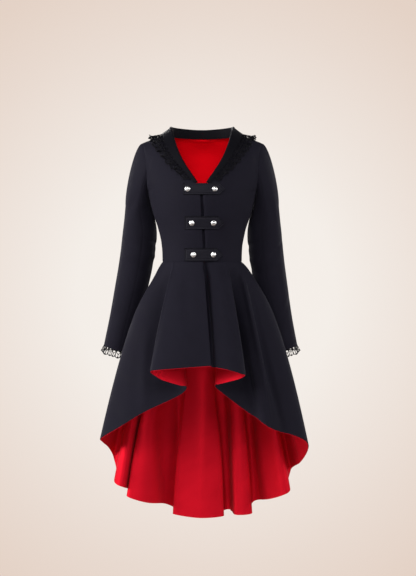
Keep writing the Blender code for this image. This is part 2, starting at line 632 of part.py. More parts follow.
for name, (middle_z, height, start_x, end_x, right_x, left_x) in TABS.items():
    point_u = 1.0 - TAB_POINT / (end_x - start_x)
    places = np.concatenate([[0.0, 0.035], np.linspace(0.12, point_u, 6), [1.0]])
    wall("tab_" + name, places, [0.0, 0.5, 1.0], lambda u, v, name=name: tab(name, u, v),
         (TAB_LIFT, TAB_LIFT + TAB_THICK), TWILL)
    for word, x in (("right", right_x), ("left", left_x)):
        u = np.array([(x - start_x) / (end_x - start_x)])
        v = np.array([0.5])
        step = (np.array([0.01]), np.array([0.01]))
        _, _, out = normals(lambda a, b, name=name: tab(name, a, b), u, v, step, step)
        seat = tab(name, u, v)[0] + out[0] * (TAB_LIFT + TAB_THICK + 2 * SEAM)
        dome = bmesh.new()
        profile = [(BUTTON_RADIUS, 0.0), (BUTTON_RADIUS, BUTTON_RIM)]
        for angle in np.radians([30.0, 60.0]):
            profile.append((BUTTON_RADIUS * np.cos(angle),
                            BUTTON_RIM + (BUTTON_HEIGHT - BUTTON_RIM) * np.sin(angle)))
        profile.append((0.0, BUTTON_HEIGHT))
        rim = [dome.verts.new((0.0, 0.0, 0.0))]
        rim += [dome.verts.new((radius, 0.0, height)) for radius, height in profile]
        edges = [dome.edges.new(pair) for pair in zip(rim, rim[1:])]
        bmesh.ops.spin(dome, geom=rim + edges, cent=(0.0, 0.0, 0.0), axis=(0.0, 0.0, 1.0),
                       angle=2 * np.pi, steps=12, use_merge=True)
        bmesh.ops.remove_doubles(dome, verts=dome.verts[:], dist=0.00001)
        bmesh.ops.recalc_face_normals(dome, faces=dome.faces[:])
        turn = Vector((0.0, 0.0, 1.0)).rotation_difference(Vector(out[0]))
        place = Matrix.Translation(Vector(seat)) @ turn.to_matrix().to_4x4()
        bmesh.ops.transform(dome, matrix=place, verts=dome.verts[:])
        add("button_" + name + "_" + word, dome, SILVER)
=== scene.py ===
import bmesh
import bpy
import numpy as np
from mathutils import Matrix, Vector


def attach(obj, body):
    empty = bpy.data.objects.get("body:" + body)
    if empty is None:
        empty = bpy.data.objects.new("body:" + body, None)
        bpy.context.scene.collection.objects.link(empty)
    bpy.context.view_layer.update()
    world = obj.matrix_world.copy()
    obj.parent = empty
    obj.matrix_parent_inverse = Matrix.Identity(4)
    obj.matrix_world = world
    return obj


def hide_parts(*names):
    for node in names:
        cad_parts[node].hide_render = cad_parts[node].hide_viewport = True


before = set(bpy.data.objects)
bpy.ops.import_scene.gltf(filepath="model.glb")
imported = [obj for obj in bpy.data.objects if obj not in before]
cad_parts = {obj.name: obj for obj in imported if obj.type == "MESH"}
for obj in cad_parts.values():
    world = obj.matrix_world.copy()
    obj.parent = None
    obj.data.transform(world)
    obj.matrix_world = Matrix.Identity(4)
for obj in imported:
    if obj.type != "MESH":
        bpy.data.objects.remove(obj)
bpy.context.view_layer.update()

# Front bodices. Two mirrored cuts of black twill, each from the waist seam up to the shoulder
# seam and backed with the red lining satin. The wearer's right one laps over the left.
CLOTH_THICK = 0.0016
WAIST_Z = -0.383
BREAK_Z = -0.163
ARMPIT_Z = -0.182
NECK_HALF = 0.091
NECK_POINT_Z = -0.003
SHOULDER_HALF = 0.180
SHOULDER_TIP_HALF = 0.177
SHOULDER_SLOPE = 0.42
SHOULDER_Y = 0.024
SHOULDER_ROUND = 0.090
BUST_V = 0.55
SEAM_DIP = 0.0007
SEAM_PULL = 0.0028
SHOULDER_CREST = 0.006

# Sections of the bodice. Columns: z, half width, depth in front, depth behind.
TORSO = np.array([
    (-0.420, 0.115, 0.088, 0.080),
    (-0.383, 0.115, 0.088, 0.080),
    (-0.342, 0.1165, 0.093, 0.082),
    (-0.290, 0.1260, 0.104, 0.089),
    (-0.240, 0.1430, 0.117, 0.096),
    (-0.195, 0.1550, 0.124, 0.100),
    (-0.150, 0.1670, 0.119, 0.100),
    (-0.110, 0.174, 0.107, 0.097),
    (-0.060, 0.180, 0.090, 0.090),
    (-0.030, 0.180, 0.083, 0.087),
    (0.060, 0.180, 0.070, 0.082),
])

# Neck edge of each front, from the break up to the shoulder. Columns: z, distance from centre.
NECK_EDGE = np.array([
    (-0.163, 0.0155),
    (-0.141, 0.0310),
    (-0.115, 0.0485),
    (-0.087, 0.0645),
    (-0.052, 0.079),
    (-0.0245, 0.0875),
    (-0.003, 0.091),
])

# Closing edge of each front below the break. Columns: z, right front, left front, both as
# distances from the centre towards the front's own side.
CLOSING_EDGE = np.array([
    (-0.383, -0.004, -0.014),
    (-0.195, 0.005, -0.016),
    (-0.163, 0.0155, 0.0155),
])
GROOVE_DEPTH = 0.0110
GROOVE_FULL = 0.0050
GROOVE_FADE = 0.0040
GROOVE_END_Z = WAIST_Z + 0.003
GROOVE_END_RUN = 0.020

# How far the armhole edge cuts in from the side seam line, in degrees round the body.
ARMHOLE_TIP = 10.5
ARMHOLE_DIP = 17.0

OUTER = (-CLOTH_THICK, 0.0)
UP = np.array([0.0, 0.0, 1.0])


def unit(vectors):
    """The same directions, each of length one."""
    return vectors / np.maximum(np.linalg.norm(vectors, axis=-1, keepdims=True), 1e-12)


def hermite(t, start, leave, end, arrive):
    """A curve from start to end that leaves and arrives at the given slopes."""
    first = (1 + 2 * t) * (1 - t) ** 2 * start + t * (1 - t) ** 2 * leave
    return first + t * t * (3 - 2 * t) * end + t * t * (t - 1) * arrive


def smooth(table, at):
    """Values of a table's columns at places along its first column, on a smooth curve."""
    knots, values = table[:, 0], table[:, 1:]
    slopes = np.gradient(values, knots, axis=0)
    at = np.clip(at, knots[0], knots[-1])
    low = np.clip(np.searchsorted(knots, at) - 1, 0, len(knots) - 2)
    span = (knots[low + 1] - knots[low])[:, None]
    t = (at - knots[low])[:, None] / span
    return hermite(t, values[low], span * slopes[low], values[low + 1], span * slopes[low + 1])


def clamp(t):
    """t held between 0 and 1."""
    return np.clip(t, 0.0, 1.0)


def fade(t):
    """A soft step from 0 to 1."""
    t = clamp(t)
    return t * t * (3 - 2 * t)


def ridge_z(x):
    """Height of the shoulder line at a distance from the centre, rounded off inside the neck."""
    inside = np.minimum(np.abs(x), NECK_HALF)
    crown = SHOULDER_SLOPE * (NECK_HALF ** 2 - inside ** 2) / (2 * NECK_HALF)
    return NECK_POINT_Z + crown - SHOULDER_SLOPE * (np.abs(x) - inside)


def torso(face, sine, z):
    """The bodice's outer surface, in front (face -1) or behind (+1). sine is x over the half
    width there, and the cloth rounds over the shoulder line."""
    half, front, behind = smooth(TORSO, z).T
    drop = np.clip(ridge_z(SHOULDER_HALF * sine) - z, 0.0, SHOULDER_ROUND)
    rise = np.sqrt(1.0 - (1.0 - drop / SHOULDER_ROUND) ** 2)
    depth = face * np.where(face < 0, front, behind)
    cosine = np.sqrt(clamp(1.0 - sine * sine))
    y = cosine * (SHOULDER_Y * (1.0 - rise) + depth * rise)
    return np.stack([half * sine, y, z], axis=1)


def armhole(turn):
    """Edge of the armhole, by a turn in degrees from the shoulder tip down to the armpit.
    Gives sine and z."""
    turn = np.radians(turn)
    tip_z = ridge_z(SHOULDER_TIP_HALF)
    dip = ARMHOLE_TIP * (1 + np.cos(turn)) / 2 + ARMHOLE_DIP * np.sin(turn)
    z = (tip_z + ARMPIT_Z) / 2 + (tip_z - ARMPIT_Z) / 2 * np.cos(turn)
    return np.cos(np.radians(dip)), z


def front_neck_z(upper):
    """Height of the front neck edge, by a share from the shoulder (0) down to the break (1)."""
    return NECK_POINT_Z + (BREAK_Z - NECK_POINT_Z) * (1.0 - np.cos(upper * np.pi / 2))


def front_panel(side, u, v):
    """Front bodice from the closing and neck edge (u 0) to the side seam and armhole (u 1),
    and from the waist (v 0) up to the shoulder seam (v 1)."""
    upper = clamp((1.0 - v) / (1.0 - BUST_V))
    low = clamp(v / BUST_V)
    below = v < BUST_V
    neck_z = front_neck_z(upper)
    edge_z = np.where(below, WAIST_Z + (BREAK_Z - WAIST_Z) * low, neck_z)
    closing = np.interp(edge_z, CLOSING_EDGE[:, 0], CLOSING_EDGE[:, 1 if side < 0 else 2])
    edge_x = np.where(below, closing, smooth(NECK_EDGE, neck_z)[:, 0])
    hole_sine, hole_z = armhole(180.0 * upper)
    side_z = np.where(below, WAIST_Z + (ARMPIT_Z - WAIST_Z) * low, hole_z)
    edge_angle = np.arcsin(edge_x / smooth(TORSO, edge_z)[:, 0])
    side_angle = np.where(below, np.pi / 2, np.arcsin(hole_sine))
    sine = np.sin(edge_angle + (side_angle - edge_angle) * u)
    share = (sine - np.sin(edge_angle)) / (np.sin(side_angle) - np.sin(edge_angle))
    points = torso(-1.0, sine, edge_z + (side_z - edge_z) * share)
    points[:, 0] *= side
    return points


def under_front(points):
    """How deep the left front lies: it passes under the right front's edge and comes up again
    just beyond it, which leaves a dark groove at the closing that ends under the bottom tab."""
    beyond = points[..., 0] + np.interp(points[..., 2], CLOSING_EDGE[:, 0], CLOSING_EDGE[:, 1])
    above_waist = fade((points[..., 2] - GROOVE_END_Z) / GROOVE_END_RUN)
    return -GROOVE_DEPTH * above_waist * (1.0 - fade((beyond - GROOVE_FULL) / GROOVE_FADE))


def spread(first, last, count):
    """Even places from first to last, with more of them close to both ends for the seams."""
    near = np.array([0.003, 0.007, 0.012, 0.019])
    share = np.unique(np.concatenate([np.linspace(0.0, 1.0, count), near, 1.0 - near]))
    return first + (last - first) * share


def on_cloth(u, v, columns, rows, runs):
    """Distances across and up a grid of cloth, at places between its columns and rows."""
    column = np.interp(u, columns, np.arange(len(columns)))
    row = np.interp(v, rows, np.arange(len(rows)))
    left = np.clip(column.astype(int), 0, len(columns) - 2)
    low = np.clip(row.astype(int), 0, len(rows) - 2)
    over, up = column - left, row - low
    lower = runs[:, low, left] * (1 - over) + runs[:, low, left + 1] * over
    upper = runs[:, low + 1, left] * (1 - over) + runs[:, low + 1, left + 1] * over
    return lower * (1 - up) + upper * up


def add_piece(name, mesh, looks, rounded=True):
    """The finished mesh as an object of the scene, with its materials."""
    for face in mesh.faces if rounded else ():
        face.smooth = True
    data = bpy.data.meshes.new(name)
    mesh.to_mesh(data)
    mesh.free()
    for look in looks:
        data.materials.append(look)
    piece = bpy.data.objects.new(name, data)
    bpy.context.scene.collection.objects.link(piece)
    return piece


def cloth(name, columns, rows, surface, lifts, looks, creases=(), dips=(0, 0, 0, 0), lift_by=None,
          crest=0.0):
    """A thin closed shell of cloth on surface(u, v), between two lifts along its normal.

    creases are rows of start u and v, end u and v, half width and height, up for a ridge and
    down for a trough. dips are how far a seam pulls in the first and last column and the first
    and last row. looks are the outer and the inner material. crest is how far from the last row
    the thickness turns straight up, where two pieces meet on a sharp shoulder."""
    across, up = len(columns) - 1, len(rows) - 1
    grid_u, grid_v = np.meshgrid(columns, rows)
    points = surface(grid_u.ravel(), grid_v.ravel()).reshape(up + 1, across + 1, 3)
    runs = np.zeros((2, up + 1, across + 1))
    runs[0, :, 1:] = np.cumsum(np.linalg.norm(np.diff(points, axis=1), axis=2), axis=1)
    runs[1, 1:] = np.cumsum(np.linalg.norm(np.diff(points, axis=0), axis=2), axis=0)
    run_u, run_v = runs
    normal = unit(np.cross(np.gradient(points, axis=1), np.gradient(points, axis=0)))
    if crest:
        upright = np.exp(-((run_v[-1:] - run_v) / crest) ** 2)[:, :, None]
        normal = unit(normal * (1 - upright) + UP * upright)
    lift = np.zeros((up + 1, across + 1))
    for start_u, start_v, end_u, end_v, half, height in creases:
        ends = on_cloth([start_u, end_u], [start_v, end_v], columns, rows, runs)
        reach = np.linalg.norm(ends[:, 1] - ends[:, 0])
        steps = np.linspace(0.0, 1.0, int(2 * reach / half) + 9)
        line = on_cloth(start_u + (end_u - start_u) * steps, start_v + (end_v - start_v) * steps,
                        columns, rows, runs)
        shape = np.zeros_like(lift)
        for step, s, t in zip(steps, *line):
            away = ((run_u - s) ** 2 + (run_v - t) ** 2) / half ** 2
            shape = np.maximum(shape, np.sin(np.pi * step) ** 0.8 * np.exp(-away))
        lift += height * shape
    for depth, run in zip(dips, (run_u, run_u[:, -1:] - run_u, run_v, run_v[-1:] - run_v)):
        lift -= depth * np.exp(-(run / SEAM_PULL) ** 2)
    if lift_by is not None:
        lift += lift_by(points)

    mesh = bmesh.new()
    bmesh.ops.create_grid(mesh, x_segments=across, y_segments=up, size=0.5)
    made = bmesh.ops.extrude_face_region(mesh, geom=mesh.faces[:])
    copies = {vert for vert in made["geom"] if isinstance(vert, bmesh.types.BMVert)}
    column = np.array([round((vert.co.x + 0.5) * across) for vert in mesh.verts])
    row = np.array([round((vert.co.y + 0.5) * up) for vert in mesh.verts])
    outer = np.array([vert in copies for vert in mesh.verts])
    for face in mesh.faces:
        held = sum(vert in copies for vert in face.verts)
        face.material_index = 0 if held else len(looks) - 1
        face.smooth = held in (0, len(face.verts))
    for edge in mesh.edges:
        edge.smooth = edge.link_faces[0].smooth == edge.link_faces[1].smooth
    side = np.where(outer, lifts[1], lifts[0]) + lift[row, column]
    placed = points[row, column] + normal[row, column] * side[:, None]
    for vert, point in zip(mesh.verts, placed):
        vert.co = point
    bmesh.ops.recalc_face_normals(mesh, faces=mesh.faces[:])
    piece = add_piece(name, mesh, looks, rounded=False)
    corners = np.empty(len(piece.data.loops), dtype=np.int32)
    piece.data.loops.foreach_get("vertex_index", corners)
    flat = runs[:, row, column].T
    weave = piece.data.uv_layers.new(name="cloth")
    weave.uv.foreach_set("vector", flat[corners].astype(np.float32).ravel())
    return piece


def sew(piece, node):
    """A sheet of the coat that stands for one CAD node."""
    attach(piece, "root")
    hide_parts(node)


def new_look(name):
    """A material, with its node tree and its shader."""
    look = bpy.data.materials.new(name)
    look.use_nodes = True
    return look, look.node_tree, look.node_tree.nodes["Principled BSDF"]


def fill(tree, node, values):
    """Sets a node's sockets, each to a value or to another node's output."""
    for socket, value in values.items():
        if isinstance(value, bpy.types.NodeSocket):
            tree.links.new(value, node.inputs[socket])
        else:
            node.inputs[socket].default_value = value


def texture(tree, kind, output, values, **settings):
    """A shader node with its sockets filled. Gives the output that is used."""
    node = tree.nodes.new("ShaderNode" + kind)
    for setting, value in settings.items():
        setattr(node, setting, value)
    fill(tree, node, values)
    return node.outputs[output]


# Length of one band of the wave texture at scale 1.
WAVE_PERIOD = 0.314


def woven(name, dark, light, pitch, slant, rough, specular, gloss, tint, bump):
    """Cloth of fine slanted threads with a slow change of colour and shine over it. gloss is
    the share of light that the threads throw back in their own colour, as satin does."""
    look, tree, shader = new_look(name)
    place = texture(tree, "UVMap", "UV", {}, uv_map="cloth")
    turned = texture(tree, "Mapping", "Vector", {"Vector": place, "Rotation": (0.0, 0.0, slant)})
    thread = texture(tree, "TexWave", "Fac", {"Vector": turned, "Scale": WAVE_PERIOD / pitch,
                                              "Distortion": 0.8, "Detail": 1.0})
    cloud = texture(tree, "TexNoise", "Fac", {"Vector": place, "Scale": 16.0, "Detail": 4.0})
    fibre = texture(tree, "TexNoise", "Fac", {"Vector": place, "Scale": 900.0, "Detail": 2.0})
    shade = texture(tree, "Math", "Value", {0: thread, 1: 0.35, 2: cloud}, operation="MULTIPLY_ADD")
    colour = texture(tree, "Mix", 2, {0: shade, 6: (*dark, 1.0), 7: (*light, 1.0)},
                     data_type="RGBA")
    shine = texture(tree, "MapRange", "Result", {"Value": cloud, "From Min": 0.3, "From Max": 0.7,
                                                 "To Min": rough[0], "To Max": rough[1]})
    height = texture(tree, "Math", "Value", {0: thread, 1: 0.6, 2: fibre}, operation="MULTIPLY_ADD")
    relief = texture(tree, "Bump", "Normal", {"Height": height, "Strength": bump,
                                              "Distance": 0.0004})
    fill(tree, shader, {"Base Color": colour, "Roughness": shine, "Normal": relief,
                        "Specular IOR Level": specular, "Metallic": gloss, "Sheen Weight": 0.02,
                        "Sheen Roughness": 0.45, "Sheen Tint": (*tint, 1.0)})
    return look


TWILL = woven("black_twill", dark=(0.0066, 0.0061, 0.0104), light=(0.0110, 0.0102, 0.0165),
              pitch=0.0008, slant=0.785, rough=(0.62, 0.80), specular=0.035, gloss=0.0,
              tint=(0.72, 0.74, 0.90), bump=0.25)
# The bodice's lining satin, also on the fronts' insides and the tabs' backs, is painted lighter
# than the skirt lining's satin, so that the lining seen through the neck looks more lit: painted
# light.
SATIN = woven("red_satin", dark=(0.68, 0.0002, 0.0050), light=(0.80, 0.0005, 0.0070),
              pitch=0.0005, slant=0.0, rough=(0.44, 0.52), specular=0.02, gloss=0.30,
              tint=(1.0, 0.5, 0.5), bump=0.10)

# Each front from the wearer's right to the left: its surface, its seams' dips, how it passes
# under, and its drag lines. Columns of those: start u, v, end u, v, half width, height.
FRONTS = {
    "right": (lambda u, v: front_panel(-1.0, 1.0 - u, v),
              (SEAM_DIP, 0.0, SEAM_DIP, SEAM_DIP), None, [
        (0.03, 0.60, 0.34, 0.56, 0.009, -0.0016),
        (0.04, 0.66, 0.30, 0.66, 0.007, 0.0012),
        (0.05, 0.74, 0.26, 0.80, 0.008, -0.0012),
        (0.01, 0.18, 0.38, 0.10, 0.007, -0.0010),
        (0.01, 0.26, 0.30, 0.20, 0.008, 0.0010),
    ]),
    "left": (lambda u, v: front_panel(1.0, u, v),
             (0.0, SEAM_DIP, SEAM_DIP, SEAM_DIP), under_front, [
        (0.97, 0.60, 0.60, 0.52, 0.008, -0.0014),
        (0.96, 0.68, 0.72, 0.70, 0.009, 0.0012),
        (0.94, 0.78, 0.76, 0.84, 0.007, -0.0011),
        (0.99, 0.14, 0.58, 0.07, 0.007, -0.0010),
        (0.99, 0.22, 0.66, 0.16, 0.007, 0.0010),
    ]),
}
for word, (surface, dips, under, creases) in FRONTS.items():
    piece = cloth("twill_front_bodice_" + word, spread(0.0, 1.0, 64), spread(0.0, 1.0, 78), surface,
                  OUTER, (TWILL, SATIN), creases, dips, under, SHOULDER_CREST)
    sew(piece, "front_bodice_" + word)

# Back bodice. One cut of black twill from side seam to side seam, up to the back neck, and
# behind it the same cut in red satin, which shows through the V of the neck.
BACK_NECK_Z = -0.014
NECK_SHARE = 0.3
LINING_TOP_V = 0.965
SEAM = 0.0003
LINING_THICK = 0.0008
LINING_OUT = CLOTH_THICK + SEAM
LINED = (-LINING_OUT - LINING_THICK, -LINING_OUT)


def back_neck_z(inward):
    """Height of the back neck edge, by a share from centre back (0) to the shoulder (1)."""
    return BACK_NECK_Z + (NECK_POINT_Z - BACK_NECK_Z) * inward ** 2


def back_panel(u, v):
    """Back bodice from the left side seam (u -1) to the right one (u 1)."""
    upper = clamp((1.0 - v) / (1.0 - BUST_V))
    low = clamp(v / BUST_V)
    below = v < BUST_V
    hole_sine, _ = armhole(180.0 * upper)
    side_angle = np.where(below, np.pi / 2, np.arcsin(hole_sine))
    neck_angle = np.arcsin(NECK_HALF / SHOULDER_HALF)
    across = np.abs(u)
    at_neck = across < NECK_SHARE
    out = clamp((across - NECK_SHARE) / (1.0 - NECK_SHARE))
    inward = clamp(across / NECK_SHARE)
    angle = np.where(at_neck, neck_angle * inward, neck_angle + (side_angle - neck_angle) * out)
    sine = np.sin(angle)
    top_z = np.where(at_neck, back_neck_z(inward), ridge_z(SHOULDER_HALF * sine))
    fall = 1.0 - np.cos(upper * np.pi / 2)
    hole_fall = (1.0 - np.cos(upper * np.pi)) / 2
    high_z = top_z + (ARMPIT_Z - top_z) * (fall + (hole_fall - fall) * out)
    z = np.where(below, WAIST_Z + (ARMPIT_Z - WAIST_Z) * low, high_z)
    return torso(1.0, -sine * np.sign(u), z)


BACK_CREASES = [
    (0.96, 0.60, 0.62, 0.54, 0.009, -0.0014),
    (-0.96, 0.62, -0.58, 0.55, 0.008, -0.0013),
    (0.94, 0.72, 0.66, 0.76, 0.010, 0.0012),
    (-0.95, 0.70, -0.70, 0.77, 0.009, 0.0012),
    (0.70, 0.05, -0.10, 0.11, 0.008, -0.0012),
    (0.20, 0.14, -0.75, 0.07, 0.008, -0.0010),
    (0.50, 0.20, -0.40, 0.19, 0.010, 0.0010),
]
NECK_CREASE = (-0.36, 0.900, 0.36, 0.900, 0.0030, -0.0030)
back = cloth("twill_back_bodice", spread(-1.0, 1.0, 110), spread(0.0, 1.0, 72), back_panel, OUTER,
             (TWILL,), BACK_CREASES, (SEAM_DIP,) * 4, crest=SHOULDER_CREST)
sew(back, "back_bodice")
lining = cloth("satin_bodice_back", spread(-1.0, 1.0, 110), spread(0.0, LINING_TOP_V, 72),
               back_panel, LINED, (SATIN,), BACK_CREASES + [NECK_CREASE])
sew(lining, "lining_bodice_back")

# Skirts. Three flared cuts of black twill sewn to the waist seam and to each other at the
# sides. The fronts are short and each hangs in one deep pleat, the back is long and full.

# Fold lines from the right front's closing edge round the back to the left front's. Columns:
# angle at the waist from centre front towards the wearer's right, x, y and z at the hem, and
# how the line leaves the waist (1 is straight, less flares out sooner).
RIGHT_FRONT_FOLDS = [
    (-2.0, 0.026, -0.190, -0.674, 1.00),
    (22.0, -0.062, -0.197, -0.680, 1.00),
    (39.0, -0.126, -0.186, -0.686, 1.00),
    (46.0, -0.144, -0.166, -0.692, 0.98),
    (50.0, -0.118, -0.144, -0.713, 0.95),
    (53.0, -0.068, -0.122, -0.731, 0.92),
    (56.0, -0.045, -0.100, -0.738, 0.88),
    (60.0, -0.066, -0.080, -0.764, 0.84),
    (68.0, -0.165, -0.070, -0.812, 0.76),
    (79.0, -0.240, -0.048, -0.858, 0.65),
]
RIGHT_SIDE_FOLD = [(90.0, -0.293, -0.002, -0.892, 0.58)]
BACK_FOLDS = [
    (98.0, -0.294, 0.055, -0.908, 0.68),
    (104.0, -0.281, 0.120, -0.930, 0.74),
    (109.0, -0.268, 0.158, -0.960, 0.74),
    (115.0, -0.255, 0.152, -1.000, 0.74),
    (121.0, -0.259, 0.118, -1.033, 0.74),
    (127.0, -0.234, 0.104, -1.047, 0.73),
    (133.0, -0.218, 0.168, -1.060, 0.71),
    (138.0, -0.208, 0.158, -1.069, 0.69),
    (143.0, -0.221, 0.114, -1.076, 0.67),
    (149.0, -0.166, 0.116, -1.094, 0.65),
    (155.0, -0.112, 0.178, -1.106, 0.63),
    (160.0, -0.079, 0.212, -1.126, 0.60),
    (164.5, -0.068, 0.192, -1.132, 0.60),
    (169.0, -0.084, 0.162, -1.135, 0.60),
    (180.0, -0.008, 0.146, -1.144, 0.60),
    (191.0, 0.060, 0.162, -1.141, 0.60),
    (196.0, 0.052, 0.200, -1.136, 0.60),
    (201.0, 0.076, 0.231, -1.132, 0.60),
    (206.0, 0.091, 0.206, -1.132, 0.60),
    (212.0, 0.103, 0.163, -1.137, 0.60),
    (218.0, 0.146, 0.168, -1.134, 0.60),
    (223.0, 0.141, 0.212, -1.122, 0.62),
    (228.0, 0.160, 0.230, -1.104, 0.65),
    (234.0, 0.204, 0.168, -1.090, 0.69),
    (241.0, 0.240, 0.116, -1.072, 0.72),
    (247.0, 0.259, 0.122, -1.058, 0.74),
    (252.0, 0.255, 0.152, -1.032, 0.74),
    (256.0, 0.268, 0.164, -0.999, 0.74),
    (261.0, 0.292, 0.100, -0.972, 0.72),
    (265.0, 0.308, 0.040, -0.936, 0.60),
]
LEFT_SIDE_FOLD = [(270.0, 0.306, -0.004, -0.906, 0.50)]
LEFT_FRONT_FOLDS = [
    (279.0, 0.272, -0.038, -0.884, 0.53),
    (287.0, 0.216, -0.060, -0.866, 0.54),
    (294.0, 0.182, -0.088, -0.848, 0.56),
    (301.0, 0.128, -0.066, -0.811, 0.66),
    (309.0, 0.060, -0.080, -0.758, 0.82),
    (313.0, 0.038, -0.098, -0.735, 0.88),
    (316.0, 0.060, -0.120, -0.726, 0.92),
    (319.0, 0.104, -0.146, -0.713, 0.95),
    (322.5, 0.121, -0.168, -0.702, 0.98),
    (329.0, 0.106, -0.184, -0.695, 1.00),
    (342.0, 0.072, -0.188, -0.685, 1.00),
    (355.0, 0.034, -0.180, -0.678, 1.00),
    (364.0, 0.010, -0.166, -0.676, 1.00),
]
SKIRT_FOLDS = np.array(RIGHT_FRONT_FOLDS + RIGHT_SIDE_FOLD + BACK_FOLDS
                       + LEFT_SIDE_FOLD + LEFT_FRONT_FOLDS)
RIGHT_SEAM = len(RIGHT_FRONT_FOLDS)
LEFT_SEAM = RIGHT_SEAM + len(BACK_FOLDS) + 1
LAST_FOLD = len(SKIRT_FOLDS) - 1
FOLD_WINDOW = np.linspace(-3.0, 3.0, 9)
FRONT_FOLD_START = 0.16
BACK_FOLD_START = 0.88
SIDE_FADE = 3.0
WAIST_SOFT = 0.012
UNDERLAP_DEPTH = CLOTH_THICK + LINING_THICK + 7 * SEAM
UNDERLAP_START = LAST_FOLD - 2.6
UNDERLAP_FADE = 1.4
WAIST_TUCK_V = -0.006
WAIST_DIP = 2.4 * SEAM_DIP


def fold_line(u):
    """The fold lines' columns at any place between them."""
    knots = np.arange(len(SKIRT_FOLDS), dtype=float)
    return smooth(np.column_stack([knots, SKIRT_FOLDS]), u)


def skirt(u, v):
    """The skirt by fold line number u, from the waist (v 0) to the hem (v 1). Near the waist
    the folds open out into the plain flare that runs through the middle of them."""
    angle, hem_x, hem_y, hem_z, flare = fold_line(u).T
    plain_x, plain_y = np.mean([fold_line(u + shift)[:, 1:3] for shift in FOLD_WINDOW], axis=0).T
    behind_sides = fade((u - RIGHT_SEAM + 1) / SIDE_FADE) * fade((LEFT_SEAM + 1 - u) / SIDE_FADE)
    folded = fade(v / (FRONT_FOLD_START + (BACK_FOLD_START - FRONT_FOLD_START) * behind_sides))
    turn = np.radians(angle)
    _, half, front, behind = TORSO[1]
    waist_x = -half * np.sin(turn)
    waist_y = -np.where(np.cos(turn) > 0, front, behind) * np.cos(turn)
    start = WAIST_SOFT ** flare
    out = ((v + WAIST_SOFT) ** flare - start) / ((1 + WAIST_SOFT) ** flare - start)
    under = UNDERLAP_DEPTH * fade((u - UNDERLAP_START) / UNDERLAP_FADE) * (1.0 - out)
    x = waist_x + (plain_x + (hem_x - plain_x) * folded - waist_x) * out
    y = waist_y + (plain_y + (hem_y - plain_y) * folded - waist_y) * out + under
    return np.stack([x, y, WAIST_Z + (hem_z - WAIST_Z) * v], axis=1)


# Each panel's first and last fold line, places per fold, flat width, length and area, then
# its small creases by fold line number and share of the length.
SKIRTS = {
    "front_right": (0, RIGHT_SEAM, 12, (0.638, 0.543), 0.1452, [
        (2.95, -0.10, 3.0, 1.10, 0.0040, 0.0042),
        (3.55, 0.02, 3.7, 1.10, 0.0060, -0.0050),
        (0.9, 0.05, 0.8, 0.70, 0.016, -0.0020),
        (7.5, 0.15, 8.0, 0.80, 0.012, -0.0090),
        (8.4, 0.40, 8.0, 1.04, 0.008, 0.0045),
        (9.1, 0.02, 9.2, 0.80, 0.012, 0.0035),
    ]),
    "back": (RIGHT_SEAM, LEFT_SEAM, 8, (1.596, 0.767), 0.5764, [
        (17.4, 0.30, 17.8, 0.98, 0.012, -0.0030),
        (19.9, 0.40, 21.3, 1.10, 0.022, 0.0110),
        (24.0, 0.25, 24.4, 0.95, 0.016, 0.0030),
        (25.3, 0.35, 25.0, 0.99, 0.012, -0.0024),
        (26.9, 0.35, 28.3, 1.10, 0.012, 0.0170),
        (32.5, 0.30, 33.4, 1.10, 0.016, 0.0120),
        (37.9, 0.50, 38.9, 1.05, 0.012, 0.0060),
    ]),
    "front_left": (LEFT_SEAM, LAST_FOLD, 10, (0.605, 0.564), 0.1479, [
        (53.20, -0.02, 53.22, 1.08, 0.0060, -0.0220),
        (53.20, -0.03, 53.20, 0.40, 0.0055, -0.0080),
        (52.2, 0.05, 52.4, 0.75, 0.016, -0.0020),
        (50.15, -0.10, 50.1, 1.10, 0.0040, 0.0045),
        (45.7, 0.06, 44.5, 1.06, 0.015, -0.0240),
        (44.4, 0.04, 43.4, 1.06, 0.008, 0.0070),
        (43.6, 0.06, 42.6, 1.06, 0.010, -0.0120),
    ]),
}
for word, (first, last, fine, flat, area, creases) in SKIRTS.items():
    piece = cloth("twill_skirt_" + word, spread(first, last, (last - first) * fine + 1),
                  spread(WAIST_TUCK_V, 1.0, 84), skirt, OUTER, (TWILL,), creases,
                  (SEAM_DIP, SEAM_DIP, WAIST_DIP, 0.0))
    sew(piece, "skirt_" + word)

# Skirt linings. The same three cuts in red satin, bagged out at the hem so that a hair of the
# satin rolls past the edge, and seen under the short front and all over the long back.
LINING_HEM_V = 1.003
# The same lining satin as the bodice's; the difference in colour between the two is painted light,
# not a different dye.
SKIRT_LINING_SATIN = woven("skirt_lining_red_satin", dark=(0.46, 0.0042, 0.0140), light=(0.58, 0.0062, 0.0190),
                   pitch=0.0005, slant=0.0, rough=(0.42, 0.50), specular=0.02, gloss=0.40,
                   tint=(1.0, 0.6, 0.6), bump=0.10)
for word, (first, last, fine, flat, area, creases) in SKIRTS.items():
    piece = cloth("satin_skirt_" + word, spread(first, last, (last - first) * fine + 1),
                  spread(WAIST_TUCK_V, LINING_HEM_V, 84), skirt, LINED, (SKIRT_LINING_SATIN,), creases,
                  (0.0, 0.0, WAIST_DIP, 0.0))
    sew(piece, "lining_skirt_" + word)

# Sleeves. Two-piece coat sleeves of black twill, an upper and an under sleeve joined by a
# front and a back seam, set into the armholes and open at the cuff.

# Middle line of the arm from the cuff up. Columns: z, x, y, half width, half depth.
ARM = np.array([
    (-0.634, 0.2475, 0.114, 0.0405, 0.0385),
    (-0.552, 0.2285, 0.098, 0.0425, 0.0410),
    (-0.470, 0.2095, 0.083, 0.0475, 0.0440),
    (-0.375, 0.1920, 0.068, 0.0500, 0.0465),
    (-0.290, 0.1824, 0.047, 0.0496, 0.0490),
    (-0.215, 0.1866, 0.025, 0.0370, 0.0505),
])
ARM_SWING = 0.005
SWING_TOP_Z = -0.25
SWING_LENGTH = 0.40
ARM_STEP = 0.004

